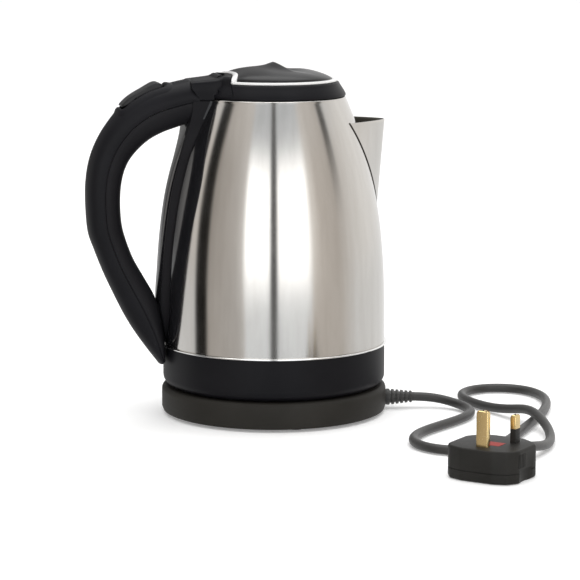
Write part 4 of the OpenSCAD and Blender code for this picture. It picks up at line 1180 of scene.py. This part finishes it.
def mixed(factor, a, b, blend="MIX"):
    node = w.add("ShaderNodeMix", data_type="RGBA", blend_type=blend)
    w.feed([socket for socket in node.inputs if socket.enabled], [factor, a, b])
    return [socket for socket in node.outputs if socket.enabled][0]


def faded(low, high, a, b, kind="SMOOTHSTEP"):
    """Light a on one side of the elevation low, turning to b as it gets to high."""
    return mixed(w.spread(elevation, low, high, kind=kind), a, b)


# the soft boxes, with a dark gap between the two in front, and the room on both sides
boxes = greys(azimuth, [
    (-180, 0.3), (-128, 0.25, 0.02), (-116, 0.9, 0.04), (-90, 0.72, 0.06), (-87.5, 0.012, 0.1),
    (-74, 0.012, 0.1), (-71.5, 0.42, 0.08), (-55, 0.5, 0.07), (-40, 0.62, 0.05),
    (-33, 0.85, 0.03), (-29, 2.3), (-4.4, 2.3), (-2.8, 0.04, 0.03), (3.3, 0.04, 0.03),
    (4.8, 2.3), (36, 2.3), (42, 1.0, 0.05), (52, 0.66, 0.08), (72, 0.58, 0.08),
    (88, 0.78, 0.04), (118, 1.0, 0.02), (180, 1.0)])
# over the boxes the room is greyer and cooler
upper = greys(azimuth, [
    (-180, 0.3), (-128, 0.3), (-116, 0.75), (-92, 0.7), (-88.5, 0.02), (-73, 0.02),
    (-70.5, 0.6, 0.06), (-34, 0.66, 0.05), (-30, 0.62, -0.04), (-4.2, 0.62, -0.04), (-2.4, 0.1),
    (2.9, 0.1), (4.6, 0.62, -0.04), (36, 0.62, -0.04), (42, 0.68, 0.05), (70, 0.66, 0.06),
    (85, 0.8), (180, 0.9)])
# under them their light fades to a cool grey
lower = greys(azimuth, [
    (-180, 0.4), (-116, 0.85), (-90, 0.75), (-87.5, 0.012, 0.1), (-74, 0.012, 0.1),
    (-71.5, 0.5, 0.07), (-31, 0.55, 0.04), (-28, 0.75, -0.04), (-4.2, 0.75, -0.04), (-2.4, 0.1),
    (2.9, 0.1), (4.6, 0.75, -0.04), (38, 0.75, -0.04), (43, 0.62, 0.08), (75, 0.62, 0.07),
    (95, 0.85), (180, 0.95)])
room = faded(20, 31, boxes, upper)
room = faded(-1, -7, room, lower)
# a dark edge on the right, which tapers off down the side
edge = greys(azimuth, [(-180, 1), (73.5, 1), (76, 0.04), (84, 0.04), (86, 1), (180, 1)])
room = faded(7, 27, room, mixed(1.0, room, edge, "MULTIPLY"), kind="LINEAR")
# and bright again overhead
overhead = greys(elevation, [(-90, 0.6), (26, 0.6), (32, 0.6), (48, 0.62, -0.02), (60, 1.15),
                             (90, 1.3)])
room = faded(46, 62, room, overhead)
# the camera itself sees plain white behind the object
lit = w.tree.nodes["Background"]
w.link(room, lit.inputs["Color"])
white = w.add("ShaderNodeBackground")
white.inputs["Color"].default_value = (1, 1, 1, 1)
choice = w.add("ShaderNodeMixShader")
seen = w.add("ShaderNodeLightPath").outputs["Is Camera Ray"]
w.feed(choice.inputs, [seen, lit.outputs[0], white.outputs[0]])
w.link(choice.outputs[0], w.tree.nodes["World Output"].inputs["Surface"])

lamp_data = bpy.data.lights.new("overhead", "AREA")
lamp_data.energy, lamp_data.size = 34, 2.6
lamp = bpy.data.objects.new("overhead", lamp_data)
lamp.location = (0.1, 0.2, 2.3)
lamp.rotation_mode = "QUATERNION"
lamp.rotation_quaternion = (-lamp.location).to_track_quat("-Z", "Y")
scene.collection.objects.link(lamp)

scene.view_settings.view_transform = "Standard"
scene.view_settings.look = "None"
scene.view_settings.exposure = 0
scene.view_settings.gamma = 1
